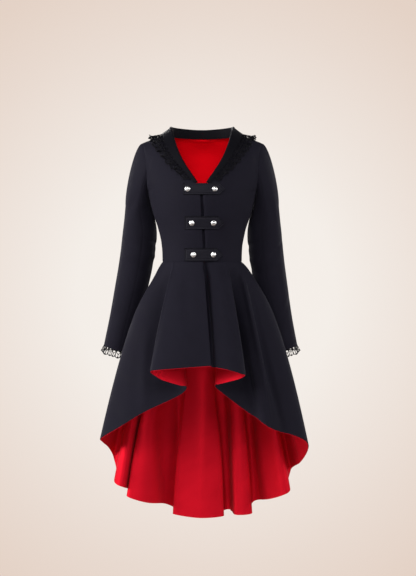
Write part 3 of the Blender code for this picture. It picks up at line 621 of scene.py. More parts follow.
# The sleeve cap leaves the armhole sideways at the shoulder tip and downwards at the underarm.
CAP_V = 0.30
CAP_TUCK = 0.0020
CAP_LEAVE = np.array([0.65, 0.0, -0.62])
CAP_LEAVE_LEAN = np.array([0.35, 0.0, 0.37])
CAP_REACH = 0.042
CAP_REACH_LEAN = 0.6
CAP_DROP = 0.070
CAP_DROP_LEAN = 0.78
CAP_ALLOWANCE_V = -0.045


def arm_ring(z, turn, grow=0.0, along=0.0):
    """A ring square to the arm's middle line: turn 0 is outwards, 90 is to the front."""
    x, y, half, depth = smooth(ARM, z).T
    low = np.clip(z - ARM_STEP, ARM[0, 0], ARM[-1, 0])
    high = np.clip(z + ARM_STEP, ARM[0, 0], ARM[-1, 0])
    slope = (smooth(ARM, low) - smooth(ARM, high))[:, :2] / (high - low)[:, None]
    axis = unit(np.column_stack([slope, -np.ones_like(z)]))
    outward = unit(np.array([1.0, 0.0, 0.0]) - axis * axis[:, :1])
    forward = np.cross(axis, outward)
    turn = np.radians(turn)
    middle = np.stack([x, y, z], axis=1) + axis * np.reshape(along, (-1, 1))
    ring = outward * ((half + grow) * np.cos(turn))[:, None]
    ring += forward * ((depth + grow) * np.sin(turn))[:, None]
    return middle + ring, axis


def on_side(side, points, z):
    """Points of the left arm moved to either side, where both hang a little to the right."""
    points[:, 0] += -side * ARM_SWING * fade((SWING_TOP_Z - z) / SWING_LENGTH)
    points[:, 0] *= side
    return points


def sleeve(side, u, v):
    """Sleeve from the armhole (v 0) to the cuff (v 1), round from the underarm (u 0 and 1). The
    seam allowance lies inside the bodice, above v 0."""
    turn = 180.0 + 360.0 * u
    around = np.mod(turn, 360.0)
    behind = around > 180.0
    hole_sine, hole_z = armhole(np.where(behind, 360.0 - around, around))
    start = torso(np.where(behind, 1.0, -1.0), hole_sine, hole_z)
    start[:, 0] -= CAP_TUCK
    lean = np.cos(np.radians(turn))[:, None]
    leave = (CAP_LEAVE + CAP_LEAVE_LEAN * lean) * CAP_REACH * (1.0 + CAP_REACH_LEAN * lean)
    end, axis = arm_ring(np.full_like(v, ARM[-1, 0]), turn)
    arrive = axis * CAP_DROP * (1.0 + CAP_DROP_LEAN * lean)
    cap = hermite(clamp(v / CAP_V)[:, None], start, leave, end, arrive)
    cap = cap + np.minimum(v / CAP_V, 0.0)[:, None] * leave
    down = clamp((v - CAP_V) / (1 - CAP_V))
    tube, _ = arm_ring(ARM[-1, 0] + (ARM[0, 0] - ARM[-1, 0]) * down, turn)
    points = np.where((v < CAP_V)[:, None], cap, tube)
    return on_side(side, points, points[:, 2])


# Each panel's first and last place round the arm and its flat area. Its creases lie by place and
# share of the length, for the right sleeve and then for the left.
SLEEVES = {
    "upper": (4 / 14, 11 / 14, 0.0800),
    "under": (11 / 14, 18 / 14, 0.0710),
}
SLEEVE_CREASES = {
    ("upper", "right"): [
        (0.77, 0.18, 0.60, 0.34, 0.008, -0.0026),
        (0.76, 0.50, 0.52, 0.44, 0.007, -0.0023),
        (0.77, 0.56, 0.58, 0.53, 0.007, 0.0020),
        (0.50, 0.52, 0.33, 0.58, 0.007, -0.0023),
        (0.76, 0.80, 0.55, 0.90, 0.009, -0.0012),
    ],
    ("upper", "left"): [
        (0.77, 0.20, 0.62, 0.38, 0.008, -0.0026),
        (0.75, 0.52, 0.50, 0.47, 0.007, -0.0022),
        (0.77, 0.60, 0.62, 0.55, 0.008, 0.0021),
        (0.46, 0.48, 0.31, 0.55, 0.008, -0.0023),
        (0.70, 0.84, 0.50, 0.76, 0.008, -0.0012),
    ],
    ("under", "right"): [
        (0.80, 0.44, 1.06, 0.50, 0.007, -0.0028),
        (0.81, 0.52, 1.10, 0.55, 0.007, 0.0021),
        (0.80, 0.60, 1.00, 0.57, 0.007, -0.0023),
    ],
    ("under", "left"): [
        (0.80, 0.46, 1.10, 0.51, 0.007, -0.0028),
        (0.82, 0.55, 1.04, 0.56, 0.007, 0.0021),
        (0.80, 0.62, 1.02, 0.60, 0.007, -0.0023),
    ],
}
for word, side in (("right", -1.0), ("left", 1.0)):
    for panel, (first, last, area) in SLEEVES.items():
        piece = cloth("twill_sleeve_" + panel + "_" + word, spread(first, last, 48),
                      spread(CAP_ALLOWANCE_V, 1.0, 124), lambda u, v: sleeve(side, u, v),
                      OUTER if side > 0 else (0.0, CLOTH_THICK), (TWILL,),
                      [(*row[:5], side * row[5]) for row in SLEEVE_CREASES[panel, word]],
                      [side * SEAM_DIP * share for share in (0.6, 0.6, 0.0, 0.0)])
        sew(piece, "sleeve_" + panel + "_" + word)

# Shawl collar. Two halves of interlined twill joined at centre back: an inner leg sewn to the
# neck edge, the roll, and a fall that lies on the bodice and narrows to nothing at the tab.
COLLAR_THICK = 0.0020

# From the break (0) over the shoulder (0.5) to centre back (1). Columns: place, height of the
# stand, width of the fall on the bodice, reach of the inner leg, width of the lace.
COLLAR = np.array([
    (0.00, 0.0016, 0.005, 0.005, 0.022),
    (0.12, 0.0016, 0.012, 0.006, 0.027),
    (0.27, 0.0024, 0.019, 0.007, 0.034),
    (0.40, 0.007, 0.023, 0.010, 0.038),
    (0.50, 0.010, 0.027, 0.013, 0.040),
    (0.75, 0.015, 0.025, 0.009, 0.039),
    (1.00, 0.016, 0.023, 0.006, 0.038),
])
COLLAR_CLEAR_INSIDE = 0.0012
COLLAR_CLEAR_OUTSIDE = 0.0022
COLLAR_INNER = CLOTH_THICK + LINING_THICK + COLLAR_CLEAR_INSIDE + COLLAR_THICK / 2
COLLAR_OUTER = COLLAR_CLEAR_OUTSIDE + COLLAR_THICK / 2
COLLAR_ROLL = (COLLAR_INNER + COLLAR_OUTER) / 2
LEG_END_V = 0.30
ROLL_END_V = 0.50
FALL_CURVE = 1.2
UPRIGHT_START = 0.15
UPRIGHT_RUN = 0.30
FLAT_END = 0.30
NECK_STEP = 0.003
SURFACE_STEP = 0.001
BODY_MIDDLE = np.array([0.0, 0.02, -0.30])


def over_shoulder(side, x, turn):
    """Bodice surface by distance from the centre and a turn over the shoulder line, which is
    negative in front, in radians until the cloth hangs straight and then in the same step."""
    bend = np.minimum(np.abs(turn), np.pi / 2)
    drop = SHOULDER_ROUND * (1.0 - np.cos(bend) + np.maximum(np.abs(turn) - np.pi / 2, 0.0))
    points = torso(np.where(turn < 0, -1.0, 1.0), x / SHOULDER_HALF, ridge_z(x) - drop)
    points[:, 0] *= side
    return points


def neck_line(place):
    """The bodice's neck edge from the break (0) over the shoulder (0.5) to centre back (1),
    as distance from the centre and turn over the shoulder line."""
    upper = clamp(1.0 - 2.0 * place)
    front_z = front_neck_z(upper)
    front_half = smooth(TORSO, front_z)[:, 0]
    front_x = smooth(NECK_EDGE, front_z)[:, 0] * SHOULDER_HALF / front_half
    inward = clamp(2.0 - 2.0 * place)
    back_x = SHOULDER_HALF * np.sin(np.arcsin(NECK_HALF / SHOULDER_HALF) * inward)
    in_front = place < 0.5
    x = np.where(in_front, front_x, back_x)
    drop = (ridge_z(x) - np.where(in_front, front_z, back_neck_z(inward))) / SHOULDER_ROUND
    turn = np.arccos(1.0 - clamp(drop)) + np.maximum(drop - 1.0, 0.0)
    return x, np.where(in_front, -turn, turn)


def half_place(u):
    """Place on one half of the collar, from the right break (u 0) or the left one (u 2)."""
    return np.where(u < 1.0, u, 2.0 - u)


def on_fall(u, reach):
    """A point on the bodice at a distance from the neck edge, under the collar's fall, with
    the normal there. u runs from the right break (0) to the left break (2)."""
    side = np.where(u < 1.0, -1.0, 1.0)
    place = half_place(u)
    x, turn = neck_line(place)
    swing = clamp(2.0 * place - 1.0) * np.pi / 2

    def at(distance, shift, wider=0.0):
        return over_shoulder(side, x + distance * np.cos(swing) + wider,
                             turn + (distance * np.sin(swing) + shift) / SHOULDER_ROUND)

    point = at(reach, 0.0)
    across = at(reach + SURFACE_STEP, 0.0) - at(reach - SURFACE_STEP, 0.0)
    skew = np.where(place < 0.5, 1.0, np.cos(swing))
    along = at(reach, SURFACE_STEP * skew) - at(reach, -SURFACE_STEP * skew)
    wide = at(reach, 0.0, SURFACE_STEP) - point
    normal = unit(np.cross(across, np.where((np.abs(skew) < 0.5)[:, None], wide, along)))
    normal *= np.sign(np.sum(normal * (point - BODY_MIDDLE), axis=1))[:, None]
    return point, normal


def level(vectors):
    """The same directions laid level."""
    flat = vectors * np.array([1.0, 1.0, 0.0])
    return flat / np.maximum(np.linalg.norm(flat, axis=1), 1e-6)[:, None]


def collar(u, v):
    """Middle of the collar's cloth: the inner leg, the roll, then the fall on the bodice."""
    place = half_place(u)
    stand, width, reach, _ = smooth(COLLAR, place).T
    edge, normal = on_fall(u, np.zeros_like(u))
    inside, _ = on_fall(u, np.full_like(u, NECK_STEP))
    upright = fade((place - UPRIGHT_START) / UPRIGHT_RUN)[:, None]
    away = unit(edge - inside) * (1 - upright) + UP * upright
    away = unit(away - normal * np.sum(away * normal, axis=1)[:, None] * (1 - upright))
    hold = normal * (1 - upright) + level(normal) * upright
    hold = unit(np.where((place > FLAT_END)[:, None], hold, normal))
    leg = clamp(v / LEG_END_V)
    bend = clamp((v - LEG_END_V) / (ROLL_END_V - LEG_END_V)) * np.pi
    down = clamp((v - ROLL_END_V) / (1.0 - ROLL_END_V))
    height = -reach + (stand + reach) * leg
    inner_leg = edge + away * height[:, None] - hold * COLLAR_INNER
    rolled = edge + away * (stand + COLLAR_ROLL * np.sin(bend))[:, None]
    rolled += hold * (COLLAR_OUTER - COLLAR_ROLL - COLLAR_ROLL * np.cos(bend))[:, None]
    under, under_normal = on_fall(u, width * down)
    lift = hold * (1 - down)[:, None] + under_normal * down[:, None]
    fall = under + away * (stand * (1 - down) ** FALL_CURVE)[:, None] + lift * COLLAR_OUTER
    outer_leg = np.where((v < ROLL_END_V)[:, None], rolled, fall)
    return np.where((v < LEG_END_V)[:, None], inner_leg, outer_leg)


# The collar's twill is painted darker than the body's twill: painted shade for the roll and the
# neck band, which lie in shadow.
SHADED_COLLAR_TWILL = woven("black_collar_twill_painted_shade", dark=(0.0024, 0.0023, 0.0037),
                     light=(0.0042, 0.0040, 0.0062), pitch=0.0007, slant=0.785,
                     rough=(0.55, 0.72), specular=0.05, gloss=0.0, tint=(0.75, 0.76, 0.85),
                     bump=0.20)
COLLAR_ACROSS = np.concatenate([np.linspace(0.0, LEG_END_V, 8),
                                np.linspace(LEG_END_V, ROLL_END_V, 14)[1:],
                                np.linspace(ROLL_END_V, 1.0, 20)[1:]])
HALF_PLACES = np.concatenate([np.linspace(0.006, 0.5, 60)[:-1],
                              1.0 - 0.5 * np.sin(np.linspace(np.pi / 2, 0.0, 50))])
for word, columns in (("right", HALF_PLACES), ("left", 2.0 - HALF_PLACES[::-1])):
    piece = cloth("twill_collar_" + word, columns, COLLAR_ACROSS, collar,
                  (-COLLAR_THICK / 2, COLLAR_THICK / 2), (SHADED_COLLAR_TWILL,))
    sew(piece, "collar_" + word)

# Collar lace. One long strip of black guipure lace, gathered and sewn under the outer edge of
# the collar so that its scallops stand off the bodice in small waves.
LACE_WIDTH = 0.036
LACE_UNIT = 0.014
LACE_GATHERS = 36
LACE_REPEATS = 76
LACE_WAVE = 0.0150
LACE_LEAN = 0.0045
LACE_RAGGED = 0.16
LACE_CURL = 0.0075
CURL_START = 0.72
LACE_TUCK = 0.003
LACE_EASE = 0.002
LACE_LIFT = 0.0022
LACE_CLEAR = 0.0006
PLACE_STEP = 0.002
SHARE_STEP = 0.0005
DOWN_STEP = 0.02
CORD = 0.00085
FINE_CORD = 0.00050
CORD_FLAT = 1.3
PETAL_HIGH = 0.0009
QUARTER_TURN = 1.571


def thread_look(name, colour, rough):
    """Twisted thread: a fine uneven relief on a dull colour."""
    look, tree, shader = new_look(name)
    place = texture(tree, "TexCoord", "Object", {})
    twist = texture(tree, "TexNoise", "Fac", {"Vector": place, "Scale": 1400.0, "Detail": 2.0})
    dark, light = [(*[share * value for value in colour], 1.0) for share in (0.6, 1.5)]
    shade = texture(tree, "Mix", 2, {0: twist, 6: dark, 7: light}, data_type="RGBA")
    relief = texture(tree, "Bump", "Normal", {"Height": twist, "Strength": 0.4, "Distance": 0.0003})
    fill(tree, shader, {"Base Color": shade, "Normal": relief, "Roughness": rough,
                        "Specular IOR Level": 0.08})
    return look


def cord(mesh, path, radius):
    """A thread along flat points in units of one repeat's width, laid as a four-sided tube."""
    path = np.asarray(path, dtype=float) * LACE_UNIT
    rings = []
    for (x, y), (ahead_x, ahead_y) in zip(path, unit(np.gradient(path, axis=0))):
        ring = []
        for turn in np.radians([45.0, 135.0, 225.0, 315.0]):
            side = radius * CORD_FLAT * np.cos(turn)
            ring.append(mesh.verts.new((x - ahead_y * side, y + ahead_x * side,
                                        radius * np.sin(turn))))
        rings.append(ring)
    for ring, after in zip(rings, rings[1:]):
        for corner in range(4):
            mesh.faces.new((ring[corner], ring[corner - 1], after[corner - 1], after[corner]))
    mesh.faces.new(rings[0])
    mesh.faces.new(rings[-1][::-1])


def petal(mesh, x, y, turn, long, wide):
    """A padded leaf or petal of solid stitching."""
    place = Matrix.Translation((x * LACE_UNIT, y * LACE_UNIT, 0.0)) @ Matrix.Rotation(turn, 4, "Z")
    shape = Matrix.Diagonal((long * LACE_UNIT, wide * LACE_UNIT, PETAL_HIGH, 1.0))
    bmesh.ops.create_uvsphere(mesh, u_segments=8, v_segments=5, radius=1.0, matrix=place @ shape)


def arc(x, y, reach_x, reach_y, first, last, count):
    """Points on an ellipse between two turns in degrees."""
    turn = np.radians(np.linspace(first, last, count))
    return np.column_stack([x + reach_x * np.cos(turn), y + reach_y * np.sin(turn)])


def lace_repeat(depth):
    """One flat repeat: a heading, two small arches, a flower on brides, a pair of leaves and
    a corded scallop with picots. Across is 0 to 1, and down is 0 to depth, in repeat widths."""
    mesh = bmesh.new()
    scallop = depth - 0.62
    cord(mesh, [(0.0, 0.04), (0.5, 0.04), (1.0, 0.04)], CORD)
    cord(mesh, [(0.0, 0.24), (0.5, 0.24), (1.0, 0.24)], FINE_CORD)
    cord(mesh, [(0.0, 0.04), (0.25, 0.24), (0.5, 0.04), (0.75, 0.24), (1.0, 0.04)], FINE_CORD)
    for across in (0.25, 0.75):
        cord(mesh, arc(across, 0.24, 0.25, 0.22, 180.0, 0.0, 7), FINE_CORD)
    flower = scallop * 0.76
    for lean, across in ((0.9, 0.24), (-0.9, 0.76)):
        petal(mesh, across, flower * 0.56, lean, 0.20, 0.10)
        petal(mesh, across, flower * 0.56, -lean, 0.16, 0.08)
    for turn in np.radians([90.0, 162.0, 234.0, 306.0, 18.0]):
        petal(mesh, 0.5 + 0.22 * np.cos(turn), flower + 0.22 * np.sin(turn), turn, 0.18, 0.13)
    cord(mesh, arc(0.5, flower, 0.07, 0.07, 0.0, 360.0, 9), FINE_CORD)
    cord(mesh, [(0.5, 0.24), (0.5, flower - 0.30)], FINE_CORD)
    cord(mesh, [(0.0, 0.24), (0.0, flower), (0.0, scallop)], CORD)
    for start, end in ((0.0, 0.2), (1.0, 0.8)):
        cord(mesh, [(start, flower), (end, flower + 0.04)], FINE_CORD)
    for across, lean in ((0.22, 0.75), (0.78, -0.75)):
        petal(mesh, across, scallop + 0.06, lean, 0.18, 0.08)
    cord(mesh, [(0.5, flower + 0.30), (0.5, scallop + 0.34)], FINE_CORD)
    cord(mesh, arc(0.5, scallop, 0.5, 0.52, 180.0, 0.0, 13), CORD)
    cord(mesh, arc(0.5, scallop, 0.36, 0.36, 180.0, 0.0, 11), FINE_CORD)
    for turn in np.radians([30.0, 60.0, 90.0, 120.0, 150.0]):
        cord(mesh, arc(0.5 + 0.54 * np.cos(turn), scallop + 0.56 * np.sin(turn),
                       0.055, 0.055, 0.0, 360.0, 7), FINE_CORD)
    petal(mesh, 0.5, scallop + 0.40, QUARTER_TURN, 0.10, 0.09)
    bmesh.ops.recalc_face_normals(mesh, faces=mesh.faces[:])
    return mesh


def lace_strip(name, repeats, depth, surface, look, repeat=lace_repeat):
    """Repeats laid side by side and carried onto surface(share of the length, share down)."""
    strip = repeat(depth)
    one = strip.verts[:] + strip.edges[:] + strip.faces[:]
    for number in range(1, repeats):
        copy = bmesh.ops.duplicate(strip, geom=one)
        moved = [item for item in copy["geom"] if isinstance(item, bmesh.types.BMVert)]
        bmesh.ops.translate(strip, verts=moved, vec=(number * LACE_UNIT, 0.0, 0.0))
    flat = np.array([vert.co for vert in strip.verts])
    share = flat[:, 0] / (repeats * LACE_UNIT)
    down = flat[:, 1] / (depth * LACE_UNIT)
    across = surface(share + SHARE_STEP, down) - surface(share - SHARE_STEP, down)
    along = surface(share, down + DOWN_STEP) - surface(share, down - DOWN_STEP)
    placed = surface(share, down) + unit(np.cross(along, across)) * flat[:, 2:]
    for vert, point in zip(strip.verts, placed):
        vert.co = point
    bmesh.ops.recalc_face_normals(strip, faces=strip.faces[:])
    return add_piece(name, strip, (look,))


def run_along(points):
    """Distance along a row of points."""
    return np.append(0.0, np.cumsum(np.linalg.norm(np.diff(points, axis=0), axis=1)))


def ripple(share, crests, start):
    """A wave with a number of crests along the lace."""
    return np.sin(2 * np.pi * (crests * share + start))


LACE = thread_look("black_lace", (0.0046, 0.0044, 0.0064), 0.55)
LACE_PLACES = np.linspace(0.025, 1.975, 400)
LACE_ROUTE, _ = on_fall(LACE_PLACES, smooth(COLLAR, half_place(LACE_PLACES))[:, 1])
LACE_RUN = run_along(LACE_ROUTE)


def collar_ruffle(share, down):
    """The gathered lace: it leaves the collar's edge and waves more towards its free edge."""
    u = np.interp(share * LACE_RUN[-1], LACE_RUN, LACE_PLACES)
    _, width, _, lace_wide = smooth(COLLAR, half_place(u)).T
    phase = LACE_GATHERS * share + 0.30 * ripple(share, 4, 0.1) + 0.16 * ripple(share, 11, 0.3)
    phase = 2 * np.pi * phase
    swell = 0.62 + 0.38 * ripple(share, 6.5, 0.2) * ripple(share, 15.3, 0.6)
    wave = (0.5 - 0.5 * np.cos(phase)) * swell
    out = np.clip(down, 0.0, 1.1)
    reach = width - LACE_TUCK + (lace_wide + LACE_EASE) * out
    ragged = wave + 0.5 + 0.5 * ripple(share, 29.3, 0.7)
    point, normal = on_fall(u, reach - LACE_RAGGED * lace_wide * out ** 2 * ragged)
    along = unit(on_fall(u + PLACE_STEP, reach)[0] - on_fall(u - PLACE_STEP, reach)[0])
    curl = LACE_CURL * np.clip((out - CURL_START) / (1.0 - CURL_START), 0.0, 1.3) ** 2
    curl = curl * (0.55 + 0.45 * ripple(share, 23.7, 0.4))
    lift = LACE_LIFT + out ** 0.8 * (LACE_CLEAR + LACE_WAVE * wave) + curl
    return point + normal * lift[:, None] + along * (LACE_LEAN * out * np.sin(phase))[:, None]


lace = lace_strip("lace_collar_ruffle", LACE_REPEATS, LACE_WIDTH / LACE_UNIT, collar_ruffle, LACE)
sew(lace, "lace_collar")

# Cuff laces. A short strip of black lace edging for each cuff, gathered a little and sewn inside
# the edge, so that it hangs open below the sleeve.
CUFF_LACE_LENGTH = 0.024
CUFF_REPEATS = 20
CUFF_GATHERS = 8
CUFF_CORD = 0.00105
CUFF_INSIDE = 0.0014
CUFF_OVERLAP = 0.0015
CUFF_FLARE = 0.0030
CUFF_WAVE = 0.0042


def cuff_repeat(depth):
    """One flat repeat of the cuff edging: a close heading with small solid triangles, wide open
    arches, and a corded scallop with a solid drop in it."""
    mesh = bmesh.new()
    scallop = depth - 0.58
    cord(mesh, [(0.0, 0.06), (0.5, 0.06), (1.0, 0.06)], CUFF_CORD)
    for across, lean in ((0.18, 1.25), (0.82, -1.25)):
        petal(mesh, across, 0.22, lean, 0.24, 0.13)
    petal(mesh, 0.0, 0.30, QUARTER_TURN, 0.30, 0.12)
    cord(mesh, [(0.0, 0.10), (0.02, 0.5 * scallop), (0.0, scallop)], CUFF_CORD)
    cord(mesh, arc(0.5, 0.12, 0.46, 0.62 * scallop, 0.0, 180.0, 11), 0.8 * CUFF_CORD)
    petal(mesh, 0.5, 0.12 + 0.66 * scallop, 0.0, 0.16, 0.12)
    cord(mesh, [(0.5, 0.12 + 0.66 * scallop), (0.5, scallop + 0.30)], 0.7 * CUFF_CORD)
    petal(mesh, 0.0, scallop, QUARTER_TURN, 0.16, 0.13)
    petal(mesh, 0.5, scallop + 0.36, QUARTER_TURN, 0.20, 0.15)
    cord(mesh, arc(0.5, scallop, 0.5, 0.52, 180.0, 0.0, 13), CUFF_CORD)
    for turn in np.radians([38.0, 90.0, 142.0]):
        petal(mesh, 0.5 + 0.53 * np.cos(turn), scallop + 0.55 * np.sin(turn), turn, 0.08, 0.07)
    bmesh.ops.recalc_face_normals(mesh, faces=mesh.faces[:])
    return mesh


def cuff_ruffle(side, share, down):
    """Lace below the cuff edge, flaring and waving more towards its free edge."""
    phase = 2 * np.pi * (CUFF_GATHERS * share + 0.15 * ripple(share, 2, 0.2))
    grow = -CUFF_INSIDE + down * (CUFF_FLARE + CUFF_WAVE * np.cos(phase))
    turn = 180.0 + 360.0 * share + 3.0 * down * np.sin(phase)
    points, _ = arm_ring(np.full_like(down, ARM[0, 0]), turn, grow,
                         CUFF_LACE_LENGTH * down - CUFF_OVERLAP)
    return on_side(side, points, ARM[0, 0])


for word, side in (("right", -1.0), ("left", 1.0)):
    lace = lace_strip("lace_cuff_ruffle_" + word, CUFF_REPEATS, CUFF_LACE_LENGTH / LACE_UNIT,
                      lambda share, down: cuff_ruffle(side, share, down), LACE, cuff_repeat)
    sew(lace, "lace_cuff_" + word)

# Closing tabs. Three straps of doubled twill backed with satin, square at one end and pointed
# at the other, edge stitched all round, edged with a near-black cord that is painted shadow, and
# buttoned to both fronts.

# Columns: middle z, height, square end x, pointed end x, then the buttons' x.
TABS = {
    "top": (-0.1785, 0.030, -0.051, 0.0635, -0.0395, 0.0353),
    "middle": (-0.2730, 0.034, -0.048, 0.0610, -0.0283, 0.0317),
    "bottom": (-0.3630, 0.034, -0.048, 0.0570, -0.0233, 0.0312),
}
TAB_THICK = 0.0030
TAB_POINT = 0.016
TAB_CORNER = 0.004
TAB_LIFT = 0.0009
TAB_WELT = 0.0014
WELT_HALF = 0.0013
TAB_CURL = 0.0042
TAB_CURL_LENGTH = 0.026
STITCH_INSET = 0.0036
STITCH_PITCH = 0.0036
STITCH_STEP = 0.0012
POINT_INSET = 1.4
POINT_CLEAR = 0.0006


def tab_half(name, x):
    """Half the height of a tab at x: rounded corners at the square end, then the point."""
    _, height, start_x, end_x = TABS[name][:4]
    short = np.clip(TAB_CORNER - (x - start_x), 0.0, TAB_CORNER)
    corner = TAB_CORNER - np.sqrt(TAB_CORNER ** 2 - short ** 2)
    return (height / 2 - corner) * np.clip((end_x - x) / TAB_POINT, 0.03, 1.0)


def on_front(x, z):
    """The bodice's outer surface in front at x and z."""
    return torso(-1.0, x / smooth(TORSO, z)[:, 0], z)


def tab(name, u, v):
    """One closing tab on the bodice front, from its square end to its point."""
    middle_z, _, start_x, end_x = TABS[name][:4]
    x = start_x + (end_x - start_x) * u
    return on_front(x, middle_z + tab_half(name, x) * (2 * v - 1))


def tab_curl(name, x):
    """The small lift of a tab's pointed end off the bodice."""
    return TAB_CURL * fade((x - TABS[name][3]) / TAB_CURL_LENGTH + 1.0)


def tab_relief(name, points):
    """The line where the edge stitching pulls a tab in, which leaves a welt round its edge, on
    top of its curl."""
    x, z = points[..., 0], points[..., 2]
    inset = np.minimum(tab_half(name, x) - np.abs(z - TABS[name][0]), x - TABS[name][2])
    return tab_curl(name, x) - TAB_WELT * np.exp(-((inset - STITCH_INSET) / WELT_HALF) ** 2)


def tab_outline(name, inset):
    """x and z round a tab at an inset from its edge, from the square end's low corner."""
    middle_z, height, start_x, end_x = TABS[name][:4]
    half = height / 2 - inset
    low_x = np.linspace(start_x + inset, end_x - TAB_POINT, 30)
    x = np.append(low_x, np.linspace(low_x[-1], end_x - POINT_INSET * inset - POINT_CLEAR, 9)[1:])
    z = np.append(np.full(30, -half), np.linspace(-half, 0.0, 9)[1:])
    round_x = np.concatenate([x, x[-2::-1], x[:1]])
    return round_x, middle_z + np.concatenate([z, -z[-2::-1], z[:1]])


def front_normal(x, z):
    """Outward normal of the bodice in front."""
    across = on_front(x + SURFACE_STEP, z) - on_front(x - SURFACE_STEP, z)
    return unit(np.cross(across, on_front(x, z + SURFACE_STEP) - on_front(x, z - SURFACE_STEP)))


def stitches(name, points, normal, look, half_sizes):
    """A row of short thread stitches along points on a surface. half_sizes are along the row,
    across it and up."""
    run = run_along(points)
    mesh = bmesh.new()
    for at in np.arange(STITCH_PITCH / 2, run[-1], STITCH_PITCH):
        first, middle, last = [Vector([np.interp(at + shift, run, axis) for axis in points.T])
                               for shift in (-STITCH_STEP, 0.0, STITCH_STEP)]
        up = Vector([np.interp(at, run, axis) for axis in normal.T]).normalized()
        ahead = (last - first).normalized()
        turn = Matrix((ahead, up.cross(ahead), up)).transposed().to_4x4()
        place = Matrix.Translation(middle) @ turn @ Matrix.Diagonal((*half_sizes, 1.0))
        bmesh.ops.create_uvsphere(mesh, u_segments=6, v_segments=4, radius=1.0, matrix=place)
    return add_piece(name, mesh, (look,))


TAB_CLOTH = woven("black_tab_twill", dark=(0.0064, 0.0060, 0.0096), light=(0.0108, 0.0102, 0.0156),
                  pitch=0.0008, slant=0.785, rough=(0.55, 0.72), specular=0.07, gloss=0.0,
                  tint=(0.75, 0.76, 0.85), bump=0.22)
THREAD = thread_look("black_thread", (0.024, 0.024, 0.029), 0.50)
# A near-black cord round each tab's edge: painted shadow for the outline the tab casts on the
# bodice.
SHADOW_PIPING = thread_look("shadow_black_piping", (0.0008, 0.0008, 0.0012), 0.80)

# Rows round a tab: the stitching thread, and a near-black cord on the very edge that is painted
# shadow for the dark outline the tab casts. Columns: inset from the edge, height above the tab's
# back, look, half sizes of one stitch.
TAB_ROWS = {
    "thread_tab_": (STITCH_INSET, TAB_THICK - TAB_WELT, THREAD, (0.0014, 0.00036, 0.00030)),
    "shadow_edging_tab_": (0.0, 0.5 * TAB_THICK, SHADOW_PIPING, (0.0026, 0.00130, 0.00100)),
}
for name, (_, height, start_x, end_x, _, _) in TABS.items():
    piece = cloth("twill_tab_" + name, spread(0.0, 1.0, 150), spread(0.0, 1.0, 44),
                  lambda u, v: tab(name, u, v), (TAB_LIFT, TAB_LIFT + TAB_THICK),
                  (TAB_CLOTH, SATIN), lift_by=lambda points: tab_relief(name, points))
    sew(piece, "tab_" + name)
    for word, (inset, rise, look, half_sizes) in TAB_ROWS.items():
        x, z = tab_outline(name, inset)
        up = front_normal(x, z)
        lift = TAB_LIFT + rise + tab_curl(name, x)
        row = stitches(word + name, on_front(x, z) + up * lift[:, None], up, look, half_sizes)
        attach(row, "root")

# Buttons. Six shanked domes of silver metal, pressed with a turned rim and sewn to the fronts,
# one at each end of each tab.

# Half of a dome's outline. Columns: radius, height above the tab.
BUTTON = np.array([
    (0.0000, 0.0000),
    (0.0071, 0.0000),
    (0.0075, 0.0004),
    (0.0075, 0.0011),
    (0.0072, 0.0015),
    (0.0066, 0.0015),
    (0.0063, 0.0018),
    (0.0059, 0.0027),
    (0.0051, 0.0036),
    (0.0039, 0.0044),
    (0.0022, 0.0050),
    (0.0000, 0.0052),
])


def metal_look(name, colour):
    """Polished metal with fine scratches and a little uneven polish."""
    look, tree, shader = new_look(name)
    place = texture(tree, "TexCoord", "Object", {})
    stretched = texture(tree, "Mapping", "Vector", {"Vector": place,
                                                    "Scale": (300.0, 300.0, 2400.0)})
    scratch = texture(tree, "TexNoise", "Fac", {"Vector": stretched, "Scale": 1.0, "Detail": 3.0})
    polish = texture(tree, "MapRange", "Result", {"Value": scratch, "To Min": 0.28, "To Max": 0.40})
    relief = texture(tree, "Bump", "Normal", {"Height": scratch, "Strength": 0.05,
                                              "Distance": 0.0002})
    fill(tree, shader, {"Base Color": (*colour, 1.0), "Metallic": 1.0, "Roughness": polish,
                        "Normal": relief})
    return look


SILVER = metal_look("silver_metal", (0.86, 0.86, 0.87))
for name, (middle_z, _, _, _, right_x, left_x) in TABS.items():
    for word, x in (("right", right_x), ("left", left_x)):
        at = (np.array([x]), np.array([middle_z]))
        up = Vector(front_normal(*at)[0])
        seat = Vector(on_front(*at)[0]) + up * (TAB_LIFT + TAB_THICK + 2 * SEAM)
        dome = bmesh.new()
        rim = [dome.verts.new((radius, 0.0, height)) for radius, height in BUTTON]
        edges = [dome.edges.new(pair) for pair in zip(rim, rim[1:])]
        bmesh.ops.spin(dome, geom=rim + edges, cent=(0.0, 0.0, 0.0), axis=(0.0, 0.0, 1.0),
                       angle=2 * np.pi, steps=40, use_merge=True)
        bmesh.ops.remove_doubles(dome, verts=dome.verts[:], dist=0.00001)
        bmesh.ops.recalc_face_normals(dome, faces=dome.faces[:])
        turn = Vector(UP).rotation_difference(up)
        bmesh.ops.transform(dome, matrix=Matrix.Translation(seat) @ turn.to_matrix().to_4x4(),
                            verts=dome.verts[:])
        piece = add_piece("dome_button_" + name + "_" + word, dome, (SILVER,))
        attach(piece, "root")
        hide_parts("button_" + name + "_" + word)

# Studio. A pale floor below the coat, a warm pale wall all round that glows by itself in a
# painted pool of light, brightest behind the coat, large soft lights in front and at the sides,
# stronger on the left, and weak ones behind.
WALL_RADIUS = 12.0
WALL_CENTRE = (0.0, WALL_RADIUS, -0.5)
WALL_FADE = 10.0
FLOOR_Z = -1.60
FLOOR_RADIUS = 1.55
